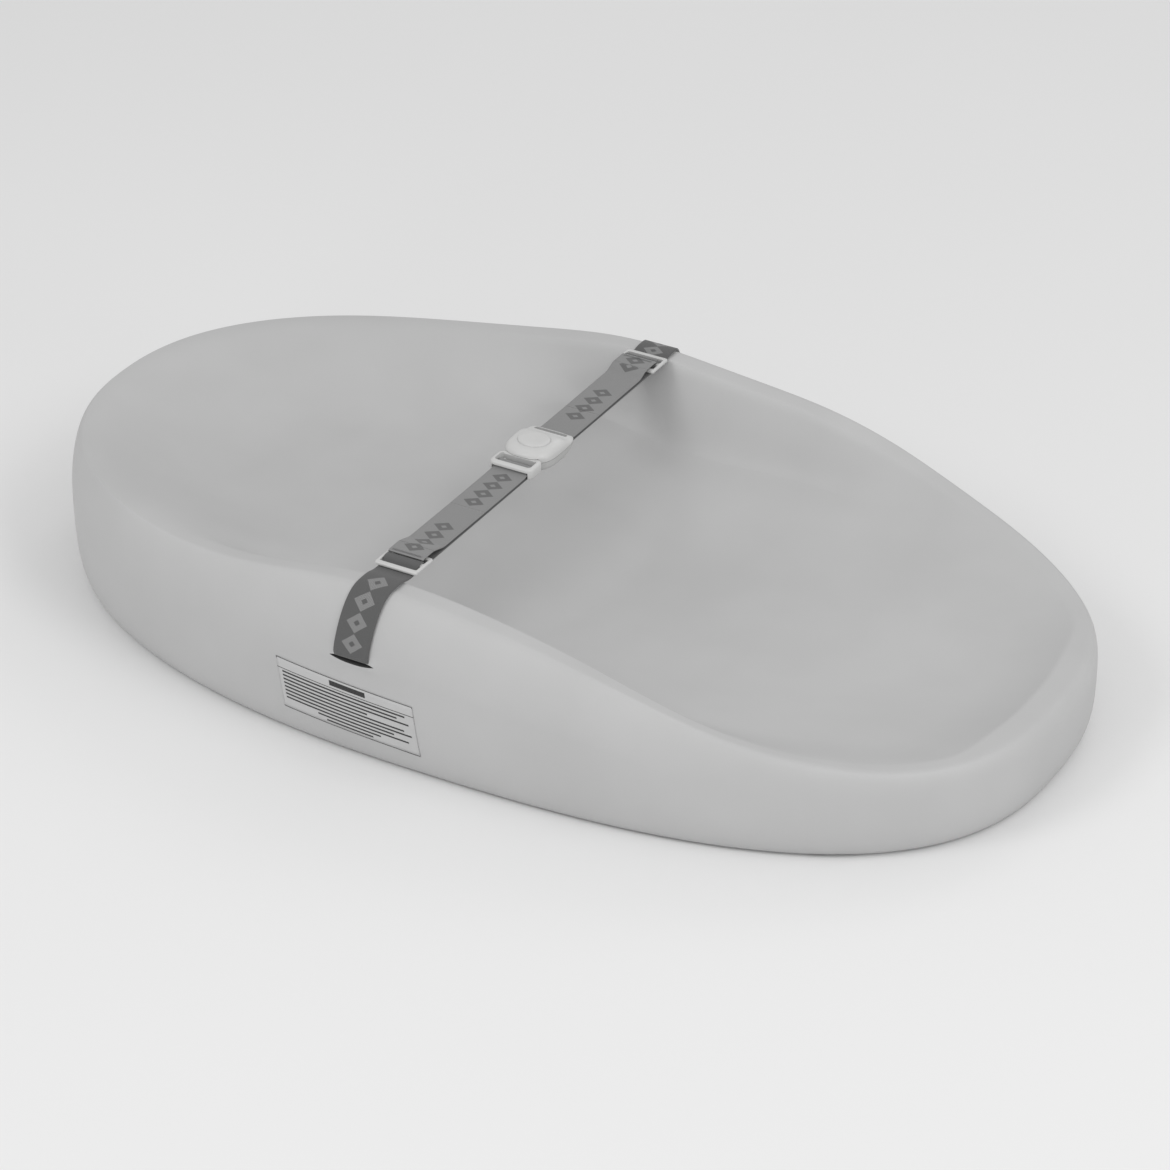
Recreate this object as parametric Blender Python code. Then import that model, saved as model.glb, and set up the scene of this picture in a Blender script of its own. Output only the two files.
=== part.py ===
"""Contoured foam changing pad with a two-part safety strap, in metres, Z up.

+X runs to the foot end, -Y is the side with the information panel, and the
flat underside lies on Z = 0.
"""
import math

import bmesh
import bpy
import numpy as np
from mathutils import Matrix, Vector

MM = 0.001

# Driving dimensions, in millimetres.
HALF_LENGTH = 370.0
HALF_WIDTH = 208.0
HEAD_POWER = 2.25
FOOT_POWER = 2.57
TAPER = -0.016
RIM = ((-1.0, 107.2), (-0.8, 106.6), (-0.65, 106.9), (-0.5, 109.2), (-0.35, 115.4), (-0.2, 123.4),
       (-0.1, 125.2), (0.02, 122.6), (0.135, 118.2), (0.22, 114.4), (0.3, 109.5), (0.38, 102.8),
       (0.46, 94.8), (0.54, 86.0), (0.62, 78.2), (0.7, 72.0), (0.8, 65.6), (0.9, 61.2), (1.0, 59.4))
BULGE_SHARE = 0.606
BASE_INSET = 14.0
BASE_POWER = 3.0
BASIN_FLOOR = 46.0
RAMP_RISE = 24.0
RAMP_RUN = 115.0
GROOVE_X = 278.0
GROOVE_WIDTH = 28.0
GROOVE_DEPTH = 2.0

STRAP_X = -32.2
SLIT_X = -40.0
SLIT_Z = 78.0
WEB_WIDTH = 26.6
WEB_THICK = 1.4
WEB_GAP = 1.8
HINGE_Y = 184.4
HINGE_Z = 127.6
LOW_PLY = 124.8
TOP_PLY = 126.6
HIGH_PLY = 129.6
BAR_Z = 127.2
BAR_RADIUS = 1.4

SLIDER_OUT = 171.0
SLIDER_IN = 149.0
SLIDER_HALF = 16.0
SLIDER_LOW = 125.8
SLIDER_HIGH = 128.2
SLIDER_WINDOWS = ((152.6, 158.2), (161.8, 167.4))

TONGUE_FRONT = -26.0
TONGUE_BACK = -8.7
TONGUE_BAR_Y = -17.0
HOUSING_FRONT = -11.6
HOUSING_BACK = 33.0
HOUSING_HALF = 18.5
HOUSING_BAR_Y = 25.5
SHELL_LOW = 122.0
SHELL_SPLIT = 128.4
SHELL_HIGH = 136.0
HOUSING_ARC = 12
HOUSING_WAIST = ((0.0, 15.0), (0.0, 19.0), (0.1, 22.5), (0.4, 25.5), (1.0, 28.5), (1.9, 31.0), (3.4, 33.0))
LANE = ((21.4, 123.8), (50.0, 123.8), (50.0, 126.9), (26.0, 130.6), (21.4, 130.6))
TONGUE_TOP = 132.2
BUTTON_Y = 7.0
BUTTON_HALF_X = 11.6
BUTTON_HALF_Y = 10.2
BUTTON_TOP = 137.6

BUCKLE_OFF_MIDDLE = 4.5
SLIDER_OFF = {"near": 5.0, "far": 1.3}

AROUND = 80


def smooth(value):
    """Ease from 0 to 1 while value goes from 0 to 1."""
    t = min(max(value, 0.0), 1.0)
    return t * t * (3.0 - 2.0 * t)


def signed_power(value, power):
    """Raise the size of value to power and keep its sign."""
    return math.copysign(abs(value) ** power, value)


def bends(knots):
    """Second derivatives of the smooth curve through knots of (u, value)."""
    u = [k[0] for k in knots]
    v = [k[1] for k in knots]
    count = len(knots)
    matrix = np.eye(count)
    right = np.zeros(count)
    for i in range(1, count - 1):
        before = u[i] - u[i - 1]
        after = u[i + 1] - u[i]
        matrix[i, i - 1:i + 2] = (before, 2.0 * (before + after), after)
        right[i] = 6.0 * ((v[i + 1] - v[i]) / after - (v[i] - v[i - 1]) / before)
    return [float(m) for m in np.linalg.solve(matrix, right)]


RIM_BENDS = bends(RIM)


def crest_height(u):
    """Height of the rim at u, which runs from -1 at the head to 1 at the foot."""
    u = min(max(u, -1.0), 1.0)
    i = 0
    while i < len(RIM) - 2 and u > RIM[i + 1][0]:
        i += 1
    step = RIM[i + 1][0] - RIM[i][0]
    a = (RIM[i + 1][0] - u) / step
    b = 1.0 - a
    curve = (a ** 3 - a) * RIM_BENDS[i] + (b ** 3 - b) * RIM_BENDS[i + 1]
    return a * RIM[i][1] + b * RIM[i + 1][1] + curve * step * step / 6.0


def crest_inset(u):
    """How far the rim's top lies inside the widest outline."""
    ends = 2.0 * smooth((-0.7 - u) / 0.3) + 3.0 * smooth((u - 0.93) / 0.07)
    return 8.0 + 14.5 * math.exp(-(((u - 0.02) / 0.36) ** 2)) + ends


def shoulder_power(u):
    """Roundness of the outer shoulder, boxier at the low foot end."""
    return 1.7 + 2.0 * smooth((u - 0.45) / 0.4)


def wall_parts(u):
    """Widths of the rim's flat top, its inner edge, the wall and the wall's foot."""
    head = smooth((-0.27 - u) / 0.42)
    foot = smooth((u - 0.32) / 0.42)
    end = smooth((u - 0.93) / 0.07)
    hips = (10.5, 6.0, 9.0, 14.0)
    heads = (3.0, 14.0, 25.0, 85.0)
    feet = (4.5 + 6.0 * end, 4.0, 1.0, 40.0)
    return [h + (a - h) * head + (b - h) * foot for h, a, b in zip(hips, heads, feet)]


def wall_drop(distance, parts):
    """Share of the way down to the floor, at a distance inside the rim's crest."""
    flat, edge, wall, foot = parts
    over = min(max(distance - flat, 0.0), edge)
    down = min(max(distance - flat - edge, 0.0), wall)
    out = min(max(distance - flat - edge - wall, 0.0), foot)
    area = edge / 2.0 + wall + foot / 2.0
    return (over * over / (2.0 * edge) + down + out - out * out / (2.0 * foot)) / area


def floor_height(x, y):
    """Height of the lying surface: head platform, ramp and foot basin."""
    v = y / 165.0
    toe = 46.0 - 40.0 * v * v
    near_toe = min(max((toe - x) / RAMP_RUN, 0.0), 1.0)
    eased = 1.3 * near_toe * near_toe / (near_toe + 0.3)
    ramp = eased * (2.0 - eased)
    head = smooth((-60.0 - x) / 250.0)
    dish = (30.0 - 6.0 * smooth((x - 60.0) / 150.0)) * (1.0 - ramp) + 13.0 * ramp
    return BASIN_FLOOR + RAMP_RISE * ramp + 5.0 * head + dish * v * v


def outline(angle):
    """Point and outward normal of the widest outline."""
    def point(t):
        c = math.cos(t)
        s = math.sin(t)
        n = HEAD_POWER if c < 0 else FOOT_POWER
        x = HALF_LENGTH * signed_power(c, 2.0 / n)
        y = HALF_WIDTH * signed_power(s, 2.0 / n) * (1.0 + TAPER * x / HALF_LENGTH)
        return x, y
    x, y = point(angle)
    ax, ay = point(angle - 0.02)
    bx, by = point(angle + 0.02)
    nx = by - ay
    ny = ax - bx
    size = math.hypot(nx, ny)
    return x, y, nx / size, ny / size


def lower_profile(step):
    """Inset and share of the bulge height, from the base edge to the bulge."""
    inset = BASE_INSET * (1.0 - math.sin(step) ** (2.0 / BASE_POWER))
    return inset, 1.0 - math.cos(step) ** (2.0 / BASE_POWER)


def side_angle(x, side):
    """Angle of the outline where it passes x on the given side."""
    n = HEAD_POWER if x < 0 else FOOT_POWER
    c = signed_power(x / HALF_LENGTH, n / 2.0)
    return side * math.acos(c)


def wall_point(x, z, side, lift):
    """Point on the outer wall at x and z, lifted off along the normal."""
    px, py, nx, ny = outline(side_angle(x, side))
    u = px / HALF_LENGTH
    top = crest_height(u)
    bulge = BULGE_SHARE * top
    if z < bulge:
        step = math.acos((1.0 - z / bulge) ** (BASE_POWER / 2.0))
        inset = lower_profile(step)[0]
    else:
        power = shoulder_power(u)
        step = math.asin(min(1.0, (z - bulge) / (top - bulge)) ** (power / 2.0))
        inset = crest_inset(u) * (1.0 - math.cos(step) ** (2.0 / power))
    return Vector((px - nx * (inset - lift), py - ny * (inset - lift), z))


def foam_rings():
    """Rings of points from the base edge over the rim to the floor's middle."""
    angles = [2.0 * math.pi * i / AROUND for i in range(AROUND)]
    frames = [outline(a) for a in angles]
    tops = [crest_height(f[0] / HALF_LENGTH) for f in frames]
    rings = []
    for k in range(8):
        inset, share = lower_profile(k / 7.0 * math.pi / 2.0)
        rings.append([(x - nx * inset, y - ny * inset, share * BULGE_SHARE * top)
                      for (x, y, nx, ny), top in zip(frames, tops)])
    for k in range(1, 9):
        step = k / 8.0 * math.pi / 2.0
        ring = []
        for (x, y, nx, ny), top in zip(frames, tops):
            u = x / HALF_LENGTH
            power = shoulder_power(u)
            inset = crest_inset(u) * (1.0 - math.cos(step) ** (2.0 / power))
            bulge = BULGE_SHARE * top
            z = bulge + (top - bulge) * math.sin(step) ** (2.0 / power)
            ring.append((x - nx * inset, y - ny * inset, z))
        rings.append(ring)
    crest = rings[-1]
    for k in range(1, 10):
        rings.append([inner_point(c, f, k) for c, f in zip(crest, frames)])
    toe = rings[-1]
    for k in range(1, 8):
        scale = 1.0 - k / 8.0
        rings.append([(x * scale, y * scale, floor_height(x * scale, y * scale))
                      for x, y, z in toe])
    return rings


def inner_point(crest, frame, number):
    """Point of the inner wall's ring of that number, from the rim to the floor."""
    x, y, top = crest
    radius = math.hypot(x, y)
    facing = (x * frame[2] + y * frame[3]) / radius
    parts = wall_parts(frame[0] / HALF_LENGTH)
    shares = ((1, 0, 0, 0), (1, 0.5, 0, 0), (1, 1, 0, 0), (1, 1, 0.5, 0), (1, 1, 1, 0),
              (1, 1, 1, 0.2), (1, 1, 1, 0.45), (1, 1, 1, 0.7), (1, 1, 1, 1))
    distance = sum(a * b for a, b in zip(parts, shares[number - 1]))
    scale = 1.0 - distance / facing / radius
    px = x * scale
    py = y * scale
    base = floor_height(px, py)
    return px, py, base + (top - base) * (1.0 - wall_drop(distance, parts))


def material(name, colour, roughness, metallic=0.0):
    """Plain Principled material."""
    result = bpy.data.materials.new(name)
    result.use_nodes = True
    shader = result.node_tree.nodes["Principled BSDF"]
    shader.inputs["Base Color"].default_value = (*colour, 1.0)
    shader.inputs["Roughness"].default_value = roughness
    shader.inputs["Metallic"].default_value = metallic
    result.diffuse_color = (*colour, 1.0)
    return result


placing = {"y": 0.0}


def add_mesh(name, points, faces, look, shaded_smooth=False):
    """Object from points in millimetres and faces."""
    mesh = bpy.data.meshes.new(name)
    mesh.from_pydata([Vector((x, y + placing["y"], z)) * MM for x, y, z in points], [], faces)
    mesh.update()
    bm = bmesh.new()
    bm.from_mesh(mesh)
    bmesh.ops.recalc_face_normals(bm, faces=bm.faces)
    bm.to_mesh(mesh)
    bm.free()
    result = bpy.data.objects.new(name, mesh)
    bpy.context.scene.collection.objects.link(result)
    if look is not None:
        mesh.materials.append(look)
    for polygon in mesh.polygons:
        polygon.use_smooth = shaded_smooth
    return result


def box(low, high):
    """Points and faces of a box between two corners."""
    points = [(x, y, z) for x in (low[0], high[0]) for y in (low[1], high[1])
              for z in (low[2], high[2])]
    faces = [(0, 1, 3, 2), (4, 6, 7, 5), (0, 4, 5, 1), (2, 3, 7, 6), (0, 2, 6, 4), (1, 5, 7, 3)]
    return points, faces


def prism(outline_points, low, high):
    """Points and faces of an outline in X and Y, raised from low to high."""
    count = len(outline_points)
    points = [(x, y, low) for x, y in outline_points]
    points += [(x, y, high) for x, y in outline_points]
    faces = [tuple(range(count)), tuple(range(count, 2 * count))]
    for i in range(count):
        j = (i + 1) % count
        faces.append((i, j, count + j, count + i))
    return points, faces


def rod(y, z, radius, half, sides=20):
    """Points and faces of a round bar along X, centred on the strap."""
    points = []
    for x in (STRAP_X - half, STRAP_X + half):
        for i in range(sides):
            a = 2.0 * math.pi * i / sides
            points.append((x, y + radius * math.cos(a), z + radius * math.sin(a)))
    faces = [tuple(range(sides)), tuple(range(sides, 2 * sides))]
    for i in range(sides):
        j = (i + 1) % sides
        faces.append((i, j, sides + j, sides + i))
    return points, faces


def cutter(name, shape):
    """Hidden wireframe object used to cut another."""
    result = add_mesh(name, shape[0], shape[1], None)
    result.hide_render = True
    result.display_type = "WIRE"
    return result


def combine(target, name, shape, operation):
    """Cut a shape from the target, or join it on."""
    tool = cutter(name, shape)
    step = target.modifiers.new(name, "BOOLEAN")
    step.operation = operation
    step.solver = "EXACT"
    step.object = tool


def ribbon(name, path, look):
    """Flat webbing along a path of (x, y, z) centre points."""
    half = WEB_THICK / 2.0
    count = len(path)
    points = []
    for i, (x, y, z) in enumerate(path):
        before = path[max(i - 1, 0)]
        after = path[min(i + 1, count - 1)]
        into = Vector((y - before[1], z - before[2]))
        out = Vector((after[1] - y, after[2] - z))
        into = into.normalized() if into.length > 0 else out.normalized()
        out = out.normalized() if out.length > 0 else into
        along = (into + out).normalized()
        across = Vector((-along.y, along.x)) * half / max(along.dot(out), 0.5)
        for dx in (-WEB_WIDTH / 2.0, WEB_WIDTH / 2.0):
            points.append((x + dx, y + across.x, z + across.y))
            points.append((x + dx, y - across.x, z - across.y))
    faces = [(0, 1, 3, 2), tuple(4 * (count - 1) + k for k in (0, 2, 3, 1))]
    for i in range(count - 1):
        a = 4 * i
        b = a + 4
        faces += [(a, a + 2, b + 2, b), (a + 1, b + 1, b + 3, a + 3)]
        faces += [(a, b, b + 1, a + 1), (a + 2, a + 3, b + 3, b + 2)]
    return add_mesh(name, points, faces, look, True)


def bend(centre, radius, start, end, steps):
    """Points on an arc in Y and Z, angles in degrees."""
    result = []
    for i in range(steps + 1):
        a = math.radians(start + (end - start) * i / steps)
        result.append((centre[0] + radius * math.cos(a), centre[1] + radius * math.sin(a)))
    return result


def riser_path(side):
    """Anchored end of the webbing: out of the slit and up to the rim."""
    path = [(SLIT_X, side * 180.6, 84.0), (SLIT_X, side * 180.6, 80.4)]
    for y, z in bend((183.0, 80.4), 2.4, 180.0, 270.0, 6)[1:]:
        path.append((SLIT_X, side * y, z))
    exit_y = abs(wall_point(SLIT_X, SLIT_Z, side, 0.0).y)
    for y, z in bend((exit_y + 0.5, SLIT_Z + 1.3), 1.3, 270.0, 360.0, 5):
        path.append((SLIT_X, side * y, z))
    top = crest_height(STRAP_X / HALF_LENGTH)
    start = path[-1][2] + 3.0
    steps = 18
    surface = []
    for i in range(steps + 1):
        share = i / steps
        x = SLIT_X + (STRAP_X - SLIT_X) * share
        z = start + (top - 0.05 - start) * math.sin(share * math.pi / 2.0)
        surface.append((x, abs(wall_point(x, z, side, 0.0).y), z))
    for i in range(steps):
        x, y, z = surface[i]
        slope = Vector((surface[i + 1][1] - y, surface[i + 1][2] - z)).normalized()
        path.append((x, side * (y + slope.y * WEB_GAP), z - slope.x * WEB_GAP))
    path.append((STRAP_X, side * (HINGE_Y + 0.4), 126.8))
    return path


def loop_path(side):
    """Free end: under the slider, round the buckle bar and back on top."""
    bar = HOUSING_BAR_Y + BUCKLE_OFF_MIDDLE
    off = SLIDER_OFF["far"]
    if side < 0:
        bar = -TONGUE_BAR_Y - BUCKLE_OFF_MIDDLE
        off = SLIDER_OFF["near"]
    rim_end = SLIDER_OUT - off
    inner = SLIDER_IN - off
    path = [(HINGE_Y - 0.4, 126.8), (176.2, 126.8), (min(rim_end + 0.6, 171.0), LOW_PLY)]
    path += [(rim_end - 3.0, LOW_PLY), (bar + 30.0, LOW_PLY), (bar + 8.0, LOW_PLY)]
    path += bend((bar, BAR_Z), HIGH_PLY - BAR_Z, 270.0, 90.0, 12)
    path += [(bar + 10.0, TOP_PLY + 0.2), (bar + 16.0, TOP_PLY), (inner - 22.0, TOP_PLY)]
    path += [(inner - 4.0, 129.2), (inner + 4.5, 129.3), (inner + 11.4, 129.3)]
    path += [(inner + 13.4, 128.9), (inner + 14.3, 127.2)]
    return [(STRAP_X, side * y, z) for y, z in path]


def build_foam(look):
    """Moulded pad with slits, anchor chambers and the underside groove."""
    rings = foam_rings()
    points = [p for ring in rings for p in ring]
    count = AROUND
    faces = [tuple(range(count))]
    for k in range(len(rings) - 1):
        for i in range(count):
            j = (i + 1) % count
            a = k * count
            b = a + count
            faces.append((a + i, a + j, b + j, b + i))
    middle = len(points)
    points.append((0.0, 0.0, floor_height(0.0, 0.0)))
    last = (len(rings) - 1) * count
    for i in range(count):
        faces.append((last + i, last + (i + 1) % count, middle))
    foam = add_mesh("foam_body", points, faces, look, True)
    for word, side in (("near", -1.0), ("far", 1.0)):
        ys = sorted((side * 215.0, side * 186.0))
        slit = box((SLIT_X - 15.4, ys[0], SLIT_Z - 1.5), (SLIT_X + 15.4, ys[1], SLIT_Z + 1.5))
        combine(foam, word + "_slit_cut", slit, "DIFFERENCE")
        ys = sorted((side * 187.0, side * 174.0))
        room = box((SLIT_X - 21.5, ys[0], SLIT_Z - 8.0), (SLIT_X + 21.5, ys[1], SLIT_Z + 8.0))
        combine(foam, word + "_chamber_cut", room, "DIFFERENCE")
    half = GROOVE_WIDTH / 2.0
    groove = box((GROOVE_X - half, -230.0, -5.0), (GROOVE_X + half, 230.0, GROOVE_DEPTH))
    combine(foam, "groove_cut", groove, "DIFFERENCE")
    return foam


def build_panel(look):
    """Thin information panel on the near wall."""
    columns = 20
    rows = 6
    points = []
    for lift in (0.25, 0.6):
        for j in range(rows + 1):
            v = j / rows
            for i in range(columns + 1):
                u = i / columns
                x = -97.0 + 106.5 * u - 4.5 * v
                z = 22.5 + 38.0 * v - 4.0 * u
                points.append(wall_point(x, z, -1.0, lift))
    stride = columns + 1
    layer = stride * (rows + 1)
    faces = []
    for j in range(rows):
        for i in range(columns):
            a = j * stride + i
            faces.append((a, a + stride, a + stride + 1, a + 1))
            faces.append(tuple(layer + k for k in (a, a + 1, a + stride + 1, a + stride)))
    edge = [i for i in range(stride)]
    edge += [j * stride + columns for j in range(1, rows + 1)]
    edge += [rows * stride + i for i in range(columns - 1, -1, -1)]
    edge += [j * stride for j in range(rows - 1, 0, -1)]
    for i, a in enumerate(edge):
        b = edge[(i + 1) % len(edge)]
        faces.append((a, b, layer + b, layer + a))
    return add_mesh("info_panel", points, faces, look)


def build_anchor(word, side, look, thread):
    """Retaining plate moulded in behind the slit, and its stitching."""
    ys = sorted((side * 186.7, side * 183.7))
    low = (SLIT_X - 21.0, ys[0], SLIT_Z - 7.5)
    high = (SLIT_X + 21.0, ys[1], SLIT_Z + 7.5)
    points, faces = box(low, high)
    plate = add_mesh(word + "_anchor_plate", points, faces, look)
    ys = sorted((side * 190.0, side * 180.0))
    slot = box((SLIT_X - 14.5, ys[0], SLIT_Z - 1.1), (SLIT_X + 14.5, ys[1], SLIT_Z + 1.1))
    combine(plate, word + "_anchor_slot_cut", slot, "DIFFERENCE")
    ys = sorted((side * 179.6, side * 179.0))
    points, faces = box((SLIT_X - 11.0, ys[0], 80.8), (SLIT_X + 11.0, ys[1], 82.8))
    add_mesh(word + "_anchor_stitch", points, faces, thread)
    return plate


def rounded_bars(low, high, radius, steps):
    """Rounded rectangle outline in X and Y between two corners."""
    result = []
    corners = [(high[0] - radius, high[1] - radius, 0.0), (low[0] + radius, high[1] - radius, 90.0)]
    corners += [(low[0] + radius, low[1] + radius, 180.0), (high[0] - radius, low[1] + radius, 270.0)]
    for cx, cy, start in corners:
        for i in range(steps + 1):
            a = math.radians(start + 90.0 * i / steps)
            result.append((cx + radius * math.cos(a), cy + radius * math.sin(a)))
    return result


def build_slider(word, side, look, thread):
    """Three-bar webbing slider and the bar tack of the webbing's end."""
    ys = sorted((side * SLIDER_IN, side * SLIDER_OUT))
    low = (STRAP_X - SLIDER_HALF, ys[0])
    high = (STRAP_X + SLIDER_HALF, ys[1])
    points, faces = prism(rounded_bars(low, high, 1.6, 4), SLIDER_LOW, SLIDER_HIGH)
    slider = add_mesh(word + "_slider", points, faces, look)
    for number, span in enumerate(SLIDER_WINDOWS):
        ys = sorted((side * span[0], side * span[1]))
        window = box((STRAP_X - 13.9, ys[0], 120.0), (STRAP_X + 13.9, ys[1], 135.0))
        combine(slider, "%s_slider_window_%d_cut" % (word, number), window, "DIFFERENCE")
    soften(slider, 0.4)
    ys = sorted((side * 157.0, side * 154.5))
    points, faces = box((STRAP_X - 11.5, ys[0], 130.2), (STRAP_X + 11.5, ys[1], 130.6))
    add_mesh(word + "_bar_tack", points, faces, thread)
    return slider


def soften(target, width):
    """Small rounded edges on sharp corners."""
    step = target.modifiers.new("soft_edges", "BEVEL")
    step.width = width * MM
    step.segments = 1
    step.limit_method = "ANGLE"
    step.angle_limit = math.radians(50.0)


def housing_outline(shrink):
    """Plan outline of the buckle housing, rounded towards the tongue."""
    middle = 9.0
    depth = middle - HOUSING_FRONT - shrink
    half = HOUSING_HALF - shrink
    result = []
    for i in range(2 * HOUSING_ARC + 1):
        a = math.pi + math.pi * i / (2 * HOUSING_ARC)
        x = STRAP_X + half * signed_power(math.cos(a), 2.0 / 2.6)
        result.append((x, middle + depth * signed_power(math.sin(a), 2.0 / 2.6)))
    for dx, y in HOUSING_WAIST:
        result.append((STRAP_X + half - dx, y - min(shrink, 2.0) * smooth((y - 28.0) / 5.0)))
    for dx, y in HOUSING_WAIST[::-1]:
        result.append((STRAP_X - half + dx, y - min(shrink, 2.0) * smooth((y - 28.0) / 5.0)))
    return result


def housing_height(y, z):
    """Lower the cover and raise the base towards the webbing's end."""
    if z > SHELL_SPLIT:
        low = SHELL_SPLIT + 0.3
        return low + (z - low) * (1.0 - 0.6 * smooth((y - 17.0) / 9.0))
    return SHELL_SPLIT - (SHELL_SPLIT - z) * (1.0 - 0.45 * smooth((y - 14.0) / 16.0))


def shell(levels):
    """Points and faces of a housing half through outlines of (shrink, height)."""
    sections = [[(x, y, housing_height(y, z)) for x, y in housing_outline(s)] for s, z in levels]
    count = len(sections[0])
    last = count * (len(sections) - 1)
    points = [p for section in sections for p in section]
    faces = []
    for k in range(len(sections) - 1):
        for i in range(count):
            j = (i + 1) % count
            a = k * count
            faces.append((a + i, a + j, a + count + j, a + count + i))
    rungs = [(HOUSING_ARC - i, HOUSING_ARC + i) for i in range(1, HOUSING_ARC + 1)]
    rungs += [(count - k, 2 * HOUSING_ARC + k) for k in range(1, len(HOUSING_WAIST) + 1)]
    for start in (0, last):
        faces.append((start + HOUSING_ARC, start + rungs[0][0], start + rungs[0][1]))
        for (a, b), (c, d) in zip(rungs, rungs[1:]):
            faces.append((start + a, start + b, start + d, start + c))
    return points, faces


def wedge(profile, half):
    """Points and faces of a (y, z) profile drawn out along X, centred on the strap."""
    count = len(profile)
    points = [(x, y, z) for x in (STRAP_X - half, STRAP_X + half) for y, z in profile]
    faces = [tuple(range(count)), tuple(range(count, 2 * count))]
    for i in range(count):
        j = (i + 1) % count
        faces.append((i, j, count + j, count + i))
    return points, faces


def oval(half_x, half_y, steps=36):
    """Oval outline centred on the release button."""
    result = []
    for i in range(steps):
        a = 2.0 * math.pi * i / steps
        result.append((STRAP_X + half_x * math.cos(a), BUTTON_Y + half_y * math.sin(a)))
    return result


def build_housing(look):
    """Lower and upper shell of the buckle's female half."""
    middle = 0.5 * (SHELL_LOW + SHELL_SPLIT)
    points, faces = shell(((2.0, SHELL_LOW), (0.4, SHELL_LOW + 1.0), (0.0, middle), (0.0, SHELL_SPLIT)))
    base = add_mesh("buckle_base", points, faces, look)
    split = SHELL_SPLIT + 0.3
    levels = ((0.0, split), (0.0, split + 2.2), (0.7, split + 4.2), (2.2, split + 5.8), (4.0, SHELL_HIGH - 0.5))
    points, faces = shell(levels + ((5.6, SHELL_HIGH),))
    cover = add_mesh("buckle_cover", points, faces, look)
    well = box((STRAP_X - 13.4, -1.6, 123.6), (STRAP_X + 13.4, 19.0, 133.6))
    mouth = box((STRAP_X - 12.0, -20.0, 127.6), (STRAP_X + 12.0, 2.0, 131.4))
    step = box((STRAP_X - 30.0, -30.0, 115.0), (STRAP_X + 30.0, -8.2, 131.7))
    lane = wedge(LANE, 13.9)
    for word, half in (("base", base), ("cover", cover)):
        combine(half, word + "_well_cut", well, "DIFFERENCE")
        combine(half, word + "_mouth_cut", mouth, "DIFFERENCE")
        combine(half, word + "_step_cut", step, "DIFFERENCE")
        combine(half, word + "_lane_cut", lane, "DIFFERENCE")
    combine(base, "base_web_bar", rod(HOUSING_BAR_Y, BAR_Z, BAR_RADIUS, 16.0), "UNION")
    hole = prism(oval(BUTTON_HALF_X + 0.3, BUTTON_HALF_Y + 0.3), 131.0, 142.0)
    combine(cover, "cover_button_cut", hole, "DIFFERENCE")
    slot = box((STRAP_X - 12.6, 27.6, 129.0), (STRAP_X + 12.6, 30.4, 142.0))
    combine(cover, "cover_slot_cut", slot, "DIFFERENCE")
    return base, cover


def build_button(look):
    """Release button: cap, two legs and the catch below the tongue."""
    points, faces = prism(oval(BUTTON_HALF_X, BUTTON_HALF_Y), 134.4, BUTTON_TOP)
    button = add_mesh("release_button", points, faces, look)
    for number, sign in enumerate((-1.0, 1.0)):
        xs = sorted((STRAP_X + sign * 10.1, STRAP_X + sign * 11.0))
        leg = box((xs[0], BUTTON_Y - 3.0, 127.2), (xs[1], BUTTON_Y + 3.0, 135.0))
        combine(button, "button_leg_%d" % number, leg, "UNION")
    bridge = box((STRAP_X - 10.6, BUTTON_Y - 2.8, 127.3), (STRAP_X + 10.6, BUTTON_Y + 2.8, 128.2))
    combine(button, "button_bridge", bridge, "UNION")
    catch = box((STRAP_X - 3.4, BUTTON_Y - 2.0, 127.8), (STRAP_X + 3.4, BUTTON_Y + 2.0, 128.48))
    combine(button, "button_catch", catch, "UNION")
    return button


def build_tongue(look):
    """Buckle tongue: webbing frame with its bar, and the latch plate."""
    low = (STRAP_X - 16.6, TONGUE_FRONT)
    high = (STRAP_X + 16.6, TONGUE_BACK)
    points, faces = prism(rounded_bars(low, high, 4.2, 5), 124.4, TONGUE_TOP)
    tongue = add_mesh("buckle_tongue", points, faces, look)
    window = box((STRAP_X - 13.9, -22.8, 115.0), (STRAP_X + 13.9, -12.0, 150.0))
    combine(tongue, "tongue_window_cut", window, "DIFFERENCE")
    lane = box((STRAP_X - 13.9, -40.0, 115.0), (STRAP_X + 13.9, -14.0, 129.6))
    combine(tongue, "tongue_lane_cut", lane, "DIFFERENCE")
    over = box((STRAP_X - 30.0, -12.1, 131.3), (STRAP_X + 30.0, 0.0, 150.0))
    combine(tongue, "tongue_step_cut", over, "DIFFERENCE")
    under = box((STRAP_X - 30.0, -12.1, 115.0), (STRAP_X + 30.0, 0.0, 127.7))
    combine(tongue, "tongue_under_cut", under, "DIFFERENCE")
    combine(tongue, "tongue_web_bar", rod(TONGUE_BAR_Y, BAR_Z, BAR_RADIUS, 15.4), "UNION")
    plate = box((STRAP_X - 9.8, -10.5, 128.6), (STRAP_X + 9.8, 14.0, 130.4))
    combine(tongue, "tongue_plate", plate, "UNION")
    hole = box((STRAP_X - 3.8, BUTTON_Y - 2.4, 120.0), (STRAP_X + 3.8, BUTTON_Y + 2.4, 137.0))
    combine(tongue, "tongue_catch_cut", hole, "DIFFERENCE")
    return tongue


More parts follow.
